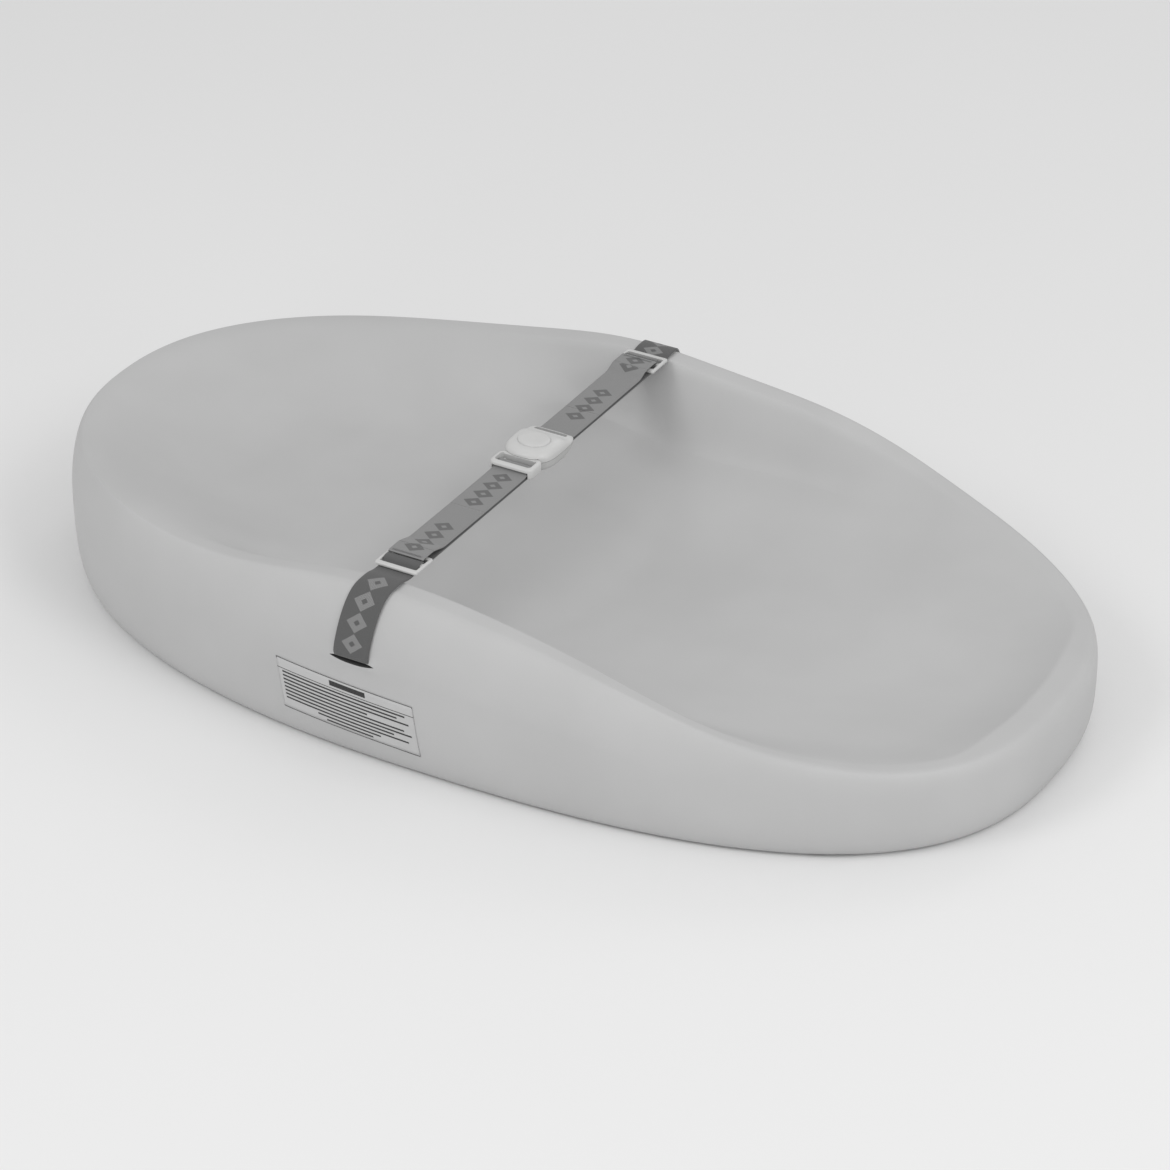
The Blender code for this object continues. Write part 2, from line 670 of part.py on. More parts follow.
def build_spring(look):
    """Coil spring under the release button."""
    turns = 3.0
    steps = 60
    sides = 6
    wire = 0.22
    radius = 2.6
    low = 123.6 + 0.4
    high = 127.3 - 0.4
    points = []
    for i in range(steps + 1):
        share = i / steps
        a = 2.0 * math.pi * turns * share
        centre = (STRAP_X + radius * math.cos(a), BUTTON_Y + radius * math.sin(a))
        z = low + (high - low) * share
        for k in range(sides):
            b = 2.0 * math.pi * k / sides
            out = wire * math.cos(b)
            x = centre[0] + out * math.cos(a)
            points.append((x, centre[1] + out * math.sin(a), z + wire * math.sin(b)))
    faces = [tuple(range(sides)), tuple(range(steps * sides, (steps + 1) * sides))]
    for i in range(steps):
        for k in range(sides):
            j = (k + 1) % sides
            a = i * sides
            faces.append((a + k, a + j, a + sides + j, a + sides + k))
    return add_mesh("button_spring", points, faces, look, True)


def move_origin(target, spot):
    """Put an object's origin on its joint without moving its mesh."""
    shift = Vector(spot) * MM
    target.data.transform(Matrix.Translation(-shift))
    target.location = shift


def build():
    """Build every piece of the pad."""
    for item in list(bpy.data.objects):
        bpy.data.objects.remove(item, do_unlink=True)
    foam_look = material("foam_skin", (0.50, 0.50, 0.50), 0.55)
    panel_look = material("panel_print", (0.56, 0.56, 0.56), 0.45)
    web_look = material("webbing", (0.16, 0.16, 0.16), 0.85)
    thread_look = material("thread", (0.10, 0.10, 0.10), 0.8)
    white_look = material("white_plastic", (0.72, 0.72, 0.71), 0.35)
    anchor_look = material("anchor_plastic", (0.05, 0.05, 0.05), 0.5)
    spring_look = material("spring_steel", (0.55, 0.55, 0.56), 0.3, 1.0)
    build_foam(foam_look)
    build_panel(panel_look)
    for word, side in (("near", -1.0), ("far", 1.0)):
        build_anchor(word, side, anchor_look, thread_look)
        ribbon(word + "_webbing_riser", riser_path(side), web_look)
        loop = ribbon(word + "_webbing_loop", loop_path(side), web_look)
        move_origin(loop, (STRAP_X, side * HINGE_Y, HINGE_Z))
        placing["y"] = -side * SLIDER_OFF[word]
        build_slider(word, side, white_look, thread_look)
        placing["y"] = 0.0
    placing["y"] = BUCKLE_OFF_MIDDLE
    build_tongue(white_look)
    build_housing(white_look)
    build_button(white_look)
    build_spring(spring_look)


build()
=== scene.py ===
"""Studio scene of the contoured foam changing pad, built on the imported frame."""
import math

import bmesh
import bpy
import numpy as np
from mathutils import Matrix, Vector


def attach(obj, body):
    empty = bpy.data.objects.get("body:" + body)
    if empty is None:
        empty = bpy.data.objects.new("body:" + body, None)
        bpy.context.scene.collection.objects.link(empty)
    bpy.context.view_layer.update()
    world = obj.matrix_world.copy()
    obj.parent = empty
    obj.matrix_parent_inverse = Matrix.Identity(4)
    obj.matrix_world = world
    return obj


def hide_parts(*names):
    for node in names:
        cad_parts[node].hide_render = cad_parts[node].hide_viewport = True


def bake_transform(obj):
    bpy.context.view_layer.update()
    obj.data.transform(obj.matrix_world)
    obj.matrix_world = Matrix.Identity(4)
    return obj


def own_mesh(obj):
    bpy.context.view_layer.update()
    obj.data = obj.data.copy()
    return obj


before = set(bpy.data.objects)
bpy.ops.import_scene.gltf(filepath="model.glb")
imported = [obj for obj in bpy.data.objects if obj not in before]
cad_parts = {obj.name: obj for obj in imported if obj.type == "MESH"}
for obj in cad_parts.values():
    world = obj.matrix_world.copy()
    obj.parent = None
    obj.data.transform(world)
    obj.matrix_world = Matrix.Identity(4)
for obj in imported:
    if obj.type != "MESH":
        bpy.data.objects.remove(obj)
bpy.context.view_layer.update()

MM = 0.001

# The pad's shape, in millimetres, the same formulas as the CAD model.
HALF_LENGTH = 370.0
HALF_WIDTH = 208.0
HEAD_POWER = 2.25
FOOT_POWER = 2.57
TAPER = -0.016
RIM = ((-1.0, 107.2), (-0.8, 106.6), (-0.65, 106.9), (-0.5, 109.2), (-0.35, 115.4), (-0.2, 123.4),
       (-0.1, 125.2), (0.02, 122.6), (0.135, 118.2), (0.22, 114.4), (0.3, 109.5), (0.38, 102.8),
       (0.46, 94.8), (0.54, 86.0), (0.62, 78.2), (0.7, 72.0), (0.8, 65.6), (0.9, 61.2), (1.0, 59.4))
CREST_INSET = 8.0
CREST_INSET_HIPS = 14.5
CREST_INSET_HEAD = 2.0
CREST_INSET_FOOT = 3.0
SHOULDER_ROUND = 1.7
SHOULDER_FOOT = 2.0
BULGE_SHARE = 0.606
BASE_INSET = 14.0
BASE_POWER = 3.0
WALL_HIPS = (10.5, 6.0, 9.0, 14.0)
WALL_HEAD = (3.0, 14.0, 25.0, 85.0)
WALL_FOOT = (4.5, 4.0, 1.0, 40.0)
BASIN_FLOOR = 46.0
BASIN_HALF = 165.0
DISH_WAIST = 30.0
DISH_FOOT = 24.0
DISH_HEAD = 13.0
RAMP_TOE = 46.0
RAMP_TOE_BOW = 40.0
RAMP_RISE = 24.0
RAMP_RUN = 115.0
HEAD_RISE = 5.0
GROOVE_X = 278.0
GROOVE_WIDTH = 28.0
GROOVE_DEPTH = 2.0

# The strap and its hardware, in millimetres. Its far half lies on +Y.
SIDES = (("near", -1.0), ("far", 1.0))
STRAP_X = -32.2
SLIT_X = -40.0
SLIT_Z = 78.0
SLIT_HALF = 17.2
SLIT_HALF_HEIGHT = 2.3
SLIT_DROP = 0.4
ANCHOR_Y = 180.6
ANCHOR_Z = 84.0
RIM_GAP = 1.35
WEB_WIDTH = 26.6
WEB_THICK = 1.4
DARK_SIDE = 0
LIGHT_SIDE = 1
FOLD_THICK = 1.3
CROSSING_THICK = 1.2
LOW_PLY = 124.8
TOP_PLY = 126.6
HIGH_PLY = 129.6
END_PLY = 130.5
LOOP_START = 148.0
RETURN_START = 76.0
BAR_Z = 127.2
BAR_RADIUS = 1.4
SLIDER_OUT = 171.0
SLIDER_IN = 149.0
SLIDER_HALF = 16.0
SLIDER_LOW = 125.8
SLIDER_HIGH = 128.2
SLIDER_WINDOWS = ((152.6, 158.2), (161.8, 167.4))
WINDOW_HALF = 13.9
TACK_Y = 155.75
TACK_Z = 131.2
TACK_STITCH = 0.95
TACK_HALF = 11.0

# Lengths that differ between the strap's halves: where the return starts to climb to the slider, how
# far the folded end reaches past the slider's edge, and where the woven marks start on each piece.
CLIMB_START = {"near": 127.0, "far": 134.5}
TAIL_END = {"near": 8.6, "far": 9.6}
RIM_MARKS = {"near": (8.0, 0.82), "far": (14.0, 1.0)}
MARKS_SHIFT = 4015.0
LOOP_MARKS = {"near": 32.5, "far": 71.0}
RETURN_MARKS = {"near": 239.0, "far": 3.3}
TAIL_MARKS = {"near": 303.0, "far": -14.0}
CROSSING_MARKS = 92.0

# The buckle, in millimetres.
SPRING_LOW = 124.0
SPRING_HIGH = 126.9
SPRING_RADIUS = 2.6
SPRING_WIRE = 0.22
SPRING_TURNS = 3.0
TONGUE_FRONT = -26.0
TONGUE_BACK = -8.7
TONGUE_BAR_Y = -17.0
TONGUE_HALF = 16.6
TONGUE_WINDOW = (-22.6, -12.0)
TONGUE_LEVELS = ((1.2, 124.4), (0.4, 124.8), (0.0, 125.6), (0.0, 130.6), (0.25, 131.3), (0.8, 131.8),
                 (1.6, 132.1), (2.0, 132.2))
HOUSING_FRONT = -11.6
HOUSING_HALF = 18.5
HOUSING_BAR_Y = 25.5
HOUSING_ARC = 24
HOUSING_WAIST = ((0.0, 12.0), (0.0, 15.0), (0.0, 17.5), (0.0, 20.0), (0.1, 22.5), (0.25, 24.5),
                 (0.55, 26.5), (1.0, 28.5), (1.5, 30.2), (2.3, 31.7), (3.0, 32.5), (3.9, 33.0))
LANE = ((21.4, 123.8), (50.0, 123.8), (50.0, 126.9), (26.0, 130.6), (21.4, 130.6))
WEB_BAR_HALF = 16.0
TONGUE_BAR_HALF = 15.4
BASE_LEVELS = ((3.4, 122.0), (1.8, 122.2), (0.8, 122.8), (0.2, 123.8), (0.0, 125.2), (0.0, 128.4))
COVER_LEVELS = ((0.0, 128.7), (0.0, 130.6), (0.15, 131.7), (0.5, 132.6), (1.1, 133.5), (1.9, 134.2),
                (2.9, 134.8), (4.1, 135.3), (5.4, 135.7), (6.8, 136.0))
SHELL_SPLIT = 128.4
SHELL_GAP = 0.3
ARC_MIDDLE = 9.0
ARC_POWER = 2.6
SLOT_HALF = 12.6
SLOT_SPAN = (27.6, 30.4)
BUTTON_Y = 7.0
BUTTON_HALF_X = 11.6
BUTTON_HALF_Y = 10.2
BUTTON_GAP = 0.12
BUTTON_LEVELS = ((0.25, 134.4), (0.0, 134.7), (0.0, 136.2), (0.3, 136.8), (0.9, 137.15), (2.0, 137.4),
                 (3.6, 137.55), (6.0, 137.6))
LEG_INNER = 10.1
LEG_OUTER = 11.0
LEG_SPAN = (BUTTON_Y - 3.0, BUTTON_Y + 3.0)
LEG_LOW = 127.2
LEG_HIGH = 135.0

# Boxes of the buckle, centred on the strap: half width, span along Y and span in height.
HOUSING_WELL = (13.4, (-1.6, 19.0), (123.6, 133.6))
HOUSING_MOUTH = (12.0, (-20.0, 2.0), (127.6, 131.4))
HOUSING_STEP = (30.0, (-30.0, -8.2), (115.0, 131.62))
BUTTON_BRIDGE = (10.6, (BUTTON_Y - 2.8, BUTTON_Y + 2.8), (127.3, 128.2))
TONGUE_LANE = (WINDOW_HALF, (-40.0, -14.0), (115.0, 129.6))
TONGUE_STEPS = ((30.0, (-12.1, 0.0), (131.3, 150.0)), (30.0, (-12.1, 0.0), (115.0, 127.7)))
LATCH_PLATE = (9.8, (-10.5, 14.0), (128.6, 130.4))
LATCH_HOLE = (3.8, (BUTTON_Y - 2.4, BUTTON_Y + 2.4), (120.0, 137.0))

# How far each joint moves, and how far the hardware sits off its place in the formulas.
BUCKLE_OFF_MIDDLE = 4.5
SLIDER_OFF = {"near": 5.0, "far": 1.3}

# The information panel on the near wall: its corner, size and slants in millimetres, then the
# places of its print in shares of its width and height.
PANEL_X = -97.0
PANEL_Z = 22.5
PANEL_WIDTH = 106.5
PANEL_HEIGHT = 38.0
PANEL_LEAN = 4.5
PANEL_FALL = 4.0
FILM_BACK = 0.18
FILM_FACE = 0.42
PRINT_LIFT = 0.43
BORDER_WIDTH = 0.0045
BORDER_HEIGHT = 0.012
RULE_AT = 0.79
TITLE_BOX = ((0.40, 0.845), (0.66, 0.945))
BAR_WIDTHS = (0.90, 0.84, 0.92, 0.62, 0.88, 0.93, 0.80, 0.90, 0.46, 0.34)
BAR_LEFT = 0.035
BARS_ON_LEFT = 8
BAR_TOP = 0.755
BAR_STEP = 0.0735
BAR_HEIGHT = 0.032

# Camera and lights in metres: name, place, size and power of each light.
CAMERA_SPOT = (1.2824, -2.2137, 1.5877)
CAMERA_AIM = (0.02541, -0.0201, 0.0555)
CAMERA_LENS = 135.45
LIGHTS = (("left_key", (-0.92, -1.59, 1.84), 1.0, 10.5), ("right_key", (1.73, -0.63, 1.84), 1.0, 10.0),
          ("right_low", (2.54, 0.0, 0.54), 0.6, 6.0), ("front_low", (0.0, -2.56, 0.45), 0.6, 7.0),
          ("right_high", (1.3, 0.0, 2.25), 1.0, 3.4), ("back", (0.0, 1.84, 1.84), 1.0, 3.2))
LIGHT_AIM = (0.0, 0.0, 0.06)
WORLD_STRENGTH = 0.66


# ---------------------------------------------------------------- shape rules

def smooth(value):
    """Ease from 0 to 1 while value goes from 0 to 1."""
    t = np.clip(value, 0.0, 1.0)
    return t * t * (3.0 - 2.0 * t)


def signed_power(value, power):
    """Raise the size of value to power and keep its sign."""
    return np.sign(value) * np.abs(value) ** power


def bends(knots):
    """Second derivatives of the smooth curve through knots of (u, value)."""
    u, v = np.array(knots).T
    count = len(knots)
    matrix = np.eye(count)
    right = np.zeros(count)
    for i in range(1, count - 1):
        before = u[i] - u[i - 1]
        after = u[i + 1] - u[i]
        matrix[i, i - 1:i + 2] = (before, 2.0 * (before + after), after)
        right[i] = 6.0 * ((v[i + 1] - v[i]) / after - (v[i] - v[i - 1]) / before)
    return np.linalg.solve(matrix, right)


RIM_U, RIM_Z = np.array(RIM).T
RIM_BENDS = bends(RIM)


def crest_height(u):
    """Height of the rim at u, from -1 at the head to 1 at the foot."""
    u = np.clip(u, -1.0, 1.0)
    i = np.clip(np.searchsorted(RIM_U, u) - 1, 0, len(RIM) - 2)
    step = RIM_U[i + 1] - RIM_U[i]
    a = (RIM_U[i + 1] - u) / step
    b = 1.0 - a
    curve = (a ** 3 - a) * RIM_BENDS[i] + (b ** 3 - b) * RIM_BENDS[i + 1]
    return a * RIM_Z[i] + b * RIM_Z[i + 1] + curve * step * step / 6.0


def crest_inset(u):
    """How far the rim's top lies inside the widest outline."""
    ends = CREST_INSET_HEAD * smooth((-0.7 - u) / 0.3) + CREST_INSET_FOOT * smooth((u - 0.93) / 0.07)
    return CREST_INSET + CREST_INSET_HIPS * np.exp(-(((u - 0.02) / 0.36) ** 2)) + ends


def shoulder_power(u):
    """Roundness of the outer shoulder."""
    return SHOULDER_ROUND + SHOULDER_FOOT * smooth((u - 0.45) / 0.4)


def wall_parts(u):
    """Widths of the rim's flat top, its inner edge, the wall and the wall's foot."""
    head = smooth((-0.27 - u) / 0.42)
    foot = smooth((u - 0.32) / 0.42)
    end = smooth((u - 0.93) / 0.07)
    feet = (WALL_FOOT[0] + 6.0 * end,) + WALL_FOOT[1:]
    return [h + (a - h) * head + (b - h) * foot for h, a, b in zip(WALL_HIPS, WALL_HEAD, feet)]


def wall_drop(distance, parts):
    """Share of the way down to the floor, at a distance inside the rim's crest."""
    flat, edge, wall, foot = parts
    over = np.clip(distance - flat, 0.0, edge)
    down = np.clip(distance - flat - edge, 0.0, wall)
    out = np.clip(distance - flat - edge - wall, 0.0, foot)
    area = edge / 2.0 + wall + foot / 2.0
    return (over * over / (2.0 * edge) + down + out - out * out / (2.0 * foot)) / area


def floor_height(x, y):
    """Height of the lying surface: head platform, ramp and foot basin."""
    v = y / BASIN_HALF
    toe = RAMP_TOE - RAMP_TOE_BOW * v * v
    near_toe = np.clip((toe - x) / RAMP_RUN, 0.0, 1.0)
    eased = 1.3 * near_toe * near_toe / (near_toe + 0.3)
    ramp = eased * (2.0 - eased)
    head = smooth((-60.0 - x) / 250.0)
    basin = DISH_WAIST + (DISH_FOOT - DISH_WAIST) * smooth((x - 60.0) / 150.0)
    dish = basin * (1.0 - ramp) + DISH_HEAD * ramp
    return BASIN_FLOOR + RAMP_RISE * ramp + HEAD_RISE * head + dish * v * v


def outline(t):
    """Points and outward normals of the widest outline at angles t."""
    def point(a):
        c = np.cos(a)
        s = np.sin(a)
        n = np.where(c < 0, HEAD_POWER, FOOT_POWER)
        x = HALF_LENGTH * signed_power(c, 2.0 / n)
        y = HALF_WIDTH * signed_power(s, 2.0 / n) * (1.0 + TAPER * x / HALF_LENGTH)
        return x, y
    x, y = point(t)
    ax, ay = point(t - 0.02)
    bx, by = point(t + 0.02)
    nx = by - ay
    ny = ax - bx
    size = np.hypot(nx, ny)
    return x, y, nx / size, ny / size


def side_angle(x, side):
    """Angle of the outline where it passes x on the given side."""
    n = np.where(x < 0, HEAD_POWER, FOOT_POWER)
    return side * np.arccos(signed_power(x / HALF_LENGTH, n / 2.0))


def wall_point(x, z, side, lift=0.0):
    """Point on the outer wall at x and z, lifted off along the normal."""
    px, py, nx, ny = outline(side_angle(np.float64(x), side))
    u = px / HALF_LENGTH
    top = crest_height(u)
    bulge = BULGE_SHARE * top
    if z < bulge:
        step = math.acos((1.0 - z / bulge) ** (BASE_POWER / 2.0))
        inset = BASE_INSET * (1.0 - math.sin(step) ** (2.0 / BASE_POWER))
    else:
        power = shoulder_power(u)
        step = math.asin(min(1.0, (z - bulge) / (top - bulge)) ** (power / 2.0))
        inset = crest_inset(u) * (1.0 - math.cos(step) ** (2.0 / power))
    return Vector((px - nx * (inset - lift), py - ny * (inset - lift), z))


# ------------------------------------------------------------- mesh utilities

# Shift along Y, in millimetres, that make() adds to every point.
placing = {"y": 0.0}


def make(name, points, faces, looks, shaded_smooth=True, uv=None, slots=None):
    """Mesh object from points in millimetres."""
    mesh = bpy.data.meshes.new(name)
    mesh.from_pydata([Vector((x, y + placing["y"], z)) * MM for x, y, z in points], [], faces)
    for look in looks:
        mesh.materials.append(look)
    if slots is not None:
        for polygon, index in zip(mesh.polygons, slots):
            polygon.material_index = index
    if uv is not None:
        layer = mesh.uv_layers.new(name="UVMap")
        for loop in mesh.loops:
            layer.data[loop.index].uv = uv[loop.vertex_index]
    for polygon in mesh.polygons:
        polygon.use_smooth = shaded_smooth
    mesh.update()
    bm = bmesh.new()
    bm.from_mesh(mesh)
    bmesh.ops.recalc_face_normals(bm, faces=bm.faces)
    bm.to_mesh(mesh)
    bm.free()
    result = bpy.data.objects.new(name, mesh)
    bpy.context.scene.collection.objects.link(result)
    return result


def side_faces(rings, count):
    """Quads between neighbouring rings of count points each."""
    faces = []
    for k in range(rings - 1):
        for i in range(count):
            j = (i + 1) % count
            a = k * count
            faces.append((a + i, a + j, a + count + j, a + count + i))
    return faces


def loft(sections):
    """Points and faces of a closed solid through same-size outlines."""
    count = len(sections[0])
    points = [p for section in sections for p in section]
    ends = [tuple(range(count - 1, -1, -1)), tuple(range(len(points) - count, len(points)))]
    return points, ends + side_faces(len(sections), count)


def prism(profile, low, high):
    """Points and faces of an (x, y) outline drawn out between two heights."""
    return loft([[(x, y, z) for x, y in profile] for z in (low, high)])


def box_shape(low, high):
    """Points and faces of a box between two corners."""
    corners = [(low[0], low[1]), (high[0], low[1]), (high[0], high[1]), (low[0], high[1])]
    return prism(corners, low[2], high[2])


def strap_box(half, y_span, z_span):
    """Points and faces of a box centred on the strap."""
    return box_shape((STRAP_X - half, y_span[0], z_span[0]), (STRAP_X + half, y_span[1], z_span[1]))


def combine(target, shape, operation="DIFFERENCE"):
    """Cut a shape from the target, or join it on, and apply it."""
    tool = make("tool", shape[0], shape[1], [], False)
    step = target.modifiers.new("cut", "BOOLEAN")
    step.operation = operation
    step.solver = "EXACT"
    step.object = tool
    bake(target)
    bpy.data.objects.remove(tool, do_unlink=True)


def one_look(target, look):
    """Give the whole of an object one material."""
    target.data.materials.clear()
    target.data.materials.append(look)


def bake(target):
    """Apply every modifier of an object."""
    graph = bpy.context.evaluated_depsgraph_get()
    mesh = bpy.data.meshes.new_from_object(target.evaluated_get(graph))
    target.modifiers.clear()
    target.data = mesh


def round_edges(target, width, segments=3, angle=35.0):
    """Round off the sharp edges of a solid and shade it smooth."""
    step = target.modifiers.new("round", "BEVEL")
    step.width = width * MM
    step.segments = segments
    step.limit_method = "ANGLE"
    step.angle_limit = math.radians(angle)
    step.harden_normals = True
    for polygon in target.data.polygons:
        polygon.use_smooth = True
    bake(target)


def smooth_by_angle(target, angle):
    """Shade smooth but keep edges sharper than the angle."""
    bm = bmesh.new()
    bm.from_mesh(target.data)
    for face in bm.faces:
        face.smooth = True
    for edge in bm.edges:
        if len(edge.link_faces) == 2:
            edge.smooth = edge.calc_face_angle(0.0) < math.radians(angle)
    bm.to_mesh(target.data)
    bm.free()


def rounded_rectangle(low, high, radius, steps):
    """Rounded rectangle outline in X and Y between two corners."""
    result = []
    corners = [(high[0] - radius, high[1] - radius, 0.0), (low[0] + radius, high[1] - radius, 90.0)]
    corners += [(low[0] + radius, low[1] + radius, 180.0), (high[0] - radius, low[1] + radius, 270.0)]
    for cx, cy, start in corners:
        for i in range(steps + 1):
            a = math.radians(start + 90.0 * i / steps)
            result.append((cx + radius * math.cos(a), cy + radius * math.sin(a)))
    return result


# ------------------------------------------------------------------ materials

class Nodes:
    """Small helper that builds a Principled material from nodes."""

    def __init__(self, name):
        self.material = bpy.data.materials.new(name)
        self.material.use_nodes = True
        self.tree = self.material.node_tree
        self.shader = self.tree.nodes["Principled BSDF"]

    def new(self, kind, **values):
        node = self.tree.nodes.new(kind)
        for key, value in values.items():
            if hasattr(node, key):
                setattr(node, key, value)
            else:
                node.inputs[key.replace("_", " ")].default_value = value
        return node

    def link(self, source, target):
        self.tree.links.new(source, target)

    def math(self, operation, a, b=None):
        node = self.new("ShaderNodeMath", operation=operation)
        for socket, value in zip(node.inputs, (a, b)):
            if value is None:
                continue
            if isinstance(value, (int, float)):
                socket.default_value = value
            else:
                self.link(value, socket)
        return node.outputs[0]

    def noise(self, scale, detail=3.0, roughness=0.5, vector=None):
        node = self.new("ShaderNodeTexNoise", Scale=scale, Detail=detail, Roughness=roughness)
        if vector is None:
            vector = self.new("ShaderNodeTexCoord").outputs["Object"]
        self.link(vector, node.inputs["Vector"])
        return node.outputs["Fac"]

    def ramp(self, factor, low, high, start=0.0, end=1.0):
        node = self.new("ShaderNodeValToRGB")
        node.color_ramp.elements[0].position = start
        node.color_ramp.elements[1].position = end
        node.color_ramp.elements[0].color = (*low, 1.0)
        node.color_ramp.elements[1].color = (*high, 1.0)
        self.link(factor, node.inputs["Fac"])
        return node.outputs["Color"]

    def mix(self, factor, a, b):
        node = self.new("ShaderNodeMix", data_type="RGBA")
        for socket, value in ((node.inputs["Factor"], factor), (node.inputs[6], a),
                              (node.inputs[7], b)):
            if isinstance(value, tuple):
                socket.default_value = (*value, 1.0)
            elif isinstance(value, float):
                socket.default_value = value
            else:
                self.link(value, socket)
        return node.outputs[2]

    def spread(self, factor, low, high):
        node = self.new("ShaderNodeMapRange")
        node.inputs["To Min"].default_value = low
        node.inputs["To Max"].default_value = high
        self.link(factor, node.inputs["Value"])
        return node.outputs["Result"]

    def bump(self, height, strength, distance, normal=None):
        node = self.new("ShaderNodeBump", Strength=strength, Distance=distance)
        self.link(height, node.inputs["Height"])
        if normal is not None:
            self.link(normal, node.inputs["Normal"])
        self.link(node.outputs["Normal"], self.shader.inputs["Normal"])
        return node.outputs["Normal"]

    def set(self, name, value):
        socket = self.shader.inputs[name]
        if isinstance(value, tuple):
            socket.default_value = (*value, 1.0)
        elif isinstance(value, (int, float)):
            socket.default_value = value
        else:
            self.link(value, socket)


def grey(level):
    """Neutral colour of one brightness."""
    return (level, level, level)


def foam_material():
    """Moulded skin of soft foam: even grey, satin, with a very fine grain."""
    n = Nodes("foam_skin_look")
    cloudy = n.noise(7.0, 3.0, 0.55)
    tone = n.ramp(cloudy, grey(0.455), grey(0.505), 0.3, 0.7)
    speck = n.noise(900.0, 2.0, 0.6)
    n.set("Base Color", n.mix(n.spread(speck, 0.0, 0.22), tone, grey(0.43)))
    n.set("Roughness", n.spread(n.noise(22.0, 4.0), 0.50, 0.62))
    n.set("Specular IOR Level", 0.35)
    wide = n.bump(n.noise(38.0, 2.0), 0.12, 0.0012)
    n.bump(n.noise(1400.0, 3.0, 0.65), 0.16, 0.00018, wide)
    return n.material


def plastic_material(name, colour, rough, speck=grey(0.9)):
    """Moulded plastic with a faint texture and slight unevenness."""
    n = Nodes(name)
    cloudy = n.noise(60.0, 3.0)
    darker = tuple(c * s for c, s in zip(colour, speck))
    n.set("Base Color", n.ramp(cloudy, darker, colour, 0.25, 0.6))
    n.set("Roughness", n.spread(n.noise(240.0, 4.0), rough - 0.06, rough + 0.08))
    n.set("Specular IOR Level", 0.45)
    wide = n.bump(n.noise(180.0, 2.0), 0.08, 0.0004)
    n.bump(n.noise(3200.0, 2.0), 0.10, 0.00006, wide)
    return n.material


def webbing_material(name, ground, mark, edge):
    """Flat woven webbing with a plain run of lozenges and painted shade in the weave's grooves. UV is in
    millimetres.
    """
    n = Nodes(name)
    uv = n.new("ShaderNodeUVMap", uv_map="UVMap").outputs["UV"]
    split = n.new("ShaderNodeSeparateXYZ")
    n.link(uv, split.inputs[0])
    across = split.outputs[0]
    along = split.outputs[1]
    yarn = 0.65
    pitch = 1.15
    period_length = 75.0
    group_length = 49.0
    cell_length = group_length / 4.0
    lozenge_half = 8.2
    pair = n.math("FLOOR", n.math("MULTIPLY", across, 1.0 / (2.0 * yarn)))
    side = n.math("SUBTRACT", n.math("MULTIPLY", n.math("FRACT", n.math("MULTIPLY", pair, 0.5)), 4.0), 1.0)
    slant = n.math("MULTIPLY", side, n.math("MULTIPLY", across, 0.9))
    rib = n.math("SINE", n.math("MULTIPLY", n.math("ADD", along, slant), 2.0 * math.pi / pitch))
    warp = n.math("ABSOLUTE", n.math("SINE", n.math("MULTIPLY", across, math.pi / yarn)))
    weave = n.math("MULTIPLY", n.spread(rib, 0.35, 1.0), n.spread(warp, 0.55, 1.0))
    weave_mix = n.spread(weave, 0.0, 1.0)
    period = n.math("MODULO", n.math("ADD", along, MARKS_SHIFT), period_length)
    within = n.math("COMPARE", period, 2.0 + group_length / 2.0)
    within.node.inputs[2].default_value = group_length / 2.0
    count = n.math("MULTIPLY", n.math("SUBTRACT", period, 2.0), 1.0 / cell_length)
    cell = n.math("SUBTRACT", n.math("FRACT", count), 0.5)
    lozenge = n.math("ADD", n.math("MULTIPLY", n.math("ABSOLUTE", cell), 2.0),
                     n.math("MULTIPLY", n.math("ABSOLUTE", across), 1.0 / lozenge_half))
    inside = n.math("LESS_THAN", lozenge, 0.95)
    core = n.math("GREATER_THAN", lozenge, 0.30)
    motif = n.math("MULTIPLY", within, n.math("MULTIPLY", inside, core))
    soft = n.math("MULTIPLY", motif, n.spread(weave, 0.7, 1.0))
    fibre = n.noise(1500.0, 2.0, 0.6)
    tone = n.mix(soft, ground, mark)
    # Painted shade: the colour darkens towards the third colour in the weave's grooves.
    shaded = n.mix(n.spread(weave_mix, 0.45, 0.0), tone, edge)
    # Fibre speckle towards the same dark colour: random tone of the yarn.
    n.set("Base Color", n.mix(n.spread(fibre, 0.0, 0.25), shaded, edge))
    n.set("Roughness", n.spread(fibre, 0.72, 0.92))
    n.set("Specular IOR Level", 0.25)
    n.set("Sheen Weight", 0.15)
    n.bump(weave, 0.55, 0.00022)
    return n.material


def thread_material():
    """Twisted sewing thread."""
    n = Nodes("thread_look")
    twist = n.noise(2600.0, 2.0)
    n.set("Base Color", n.ramp(twist, grey(0.11), grey(0.22), 0.3, 0.7))
    n.set("Roughness", n.spread(twist, 0.6, 0.85))
    n.bump(twist, 0.5, 0.0001)
    return n.material


def ink_material():
    """Black print, slightly uneven."""
    n = Nodes("print_ink_look")
    patch = n.noise(900.0, 3.0)
    n.set("Base Color", n.ramp(patch, grey(0.012), grey(0.035), 0.3, 0.7))
    n.set("Roughness", n.spread(patch, 0.45, 0.6))
    return n.material


def steel_material():
    """Drawn spring wire."""
    n = Nodes("spring_look")
    streak = n.noise(1800.0, 2.0)
    n.set("Base Color", n.ramp(streak, (0.45, 0.45, 0.46), (0.62, 0.62, 0.63)))
    n.set("Metallic", 1.0)
    n.set("Roughness", n.spread(streak, 0.22, 0.4))
    return n.material


def floor_material():
    """Plain pale studio floor."""
    n = Nodes("floor_look")
    n.set("Base Color", n.ramp(n.noise(2.0, 2.0), grey(0.80), grey(0.82)))
    n.set("Roughness", 0.9)
    n.set("Specular IOR Level", 0.1)
    return n.material


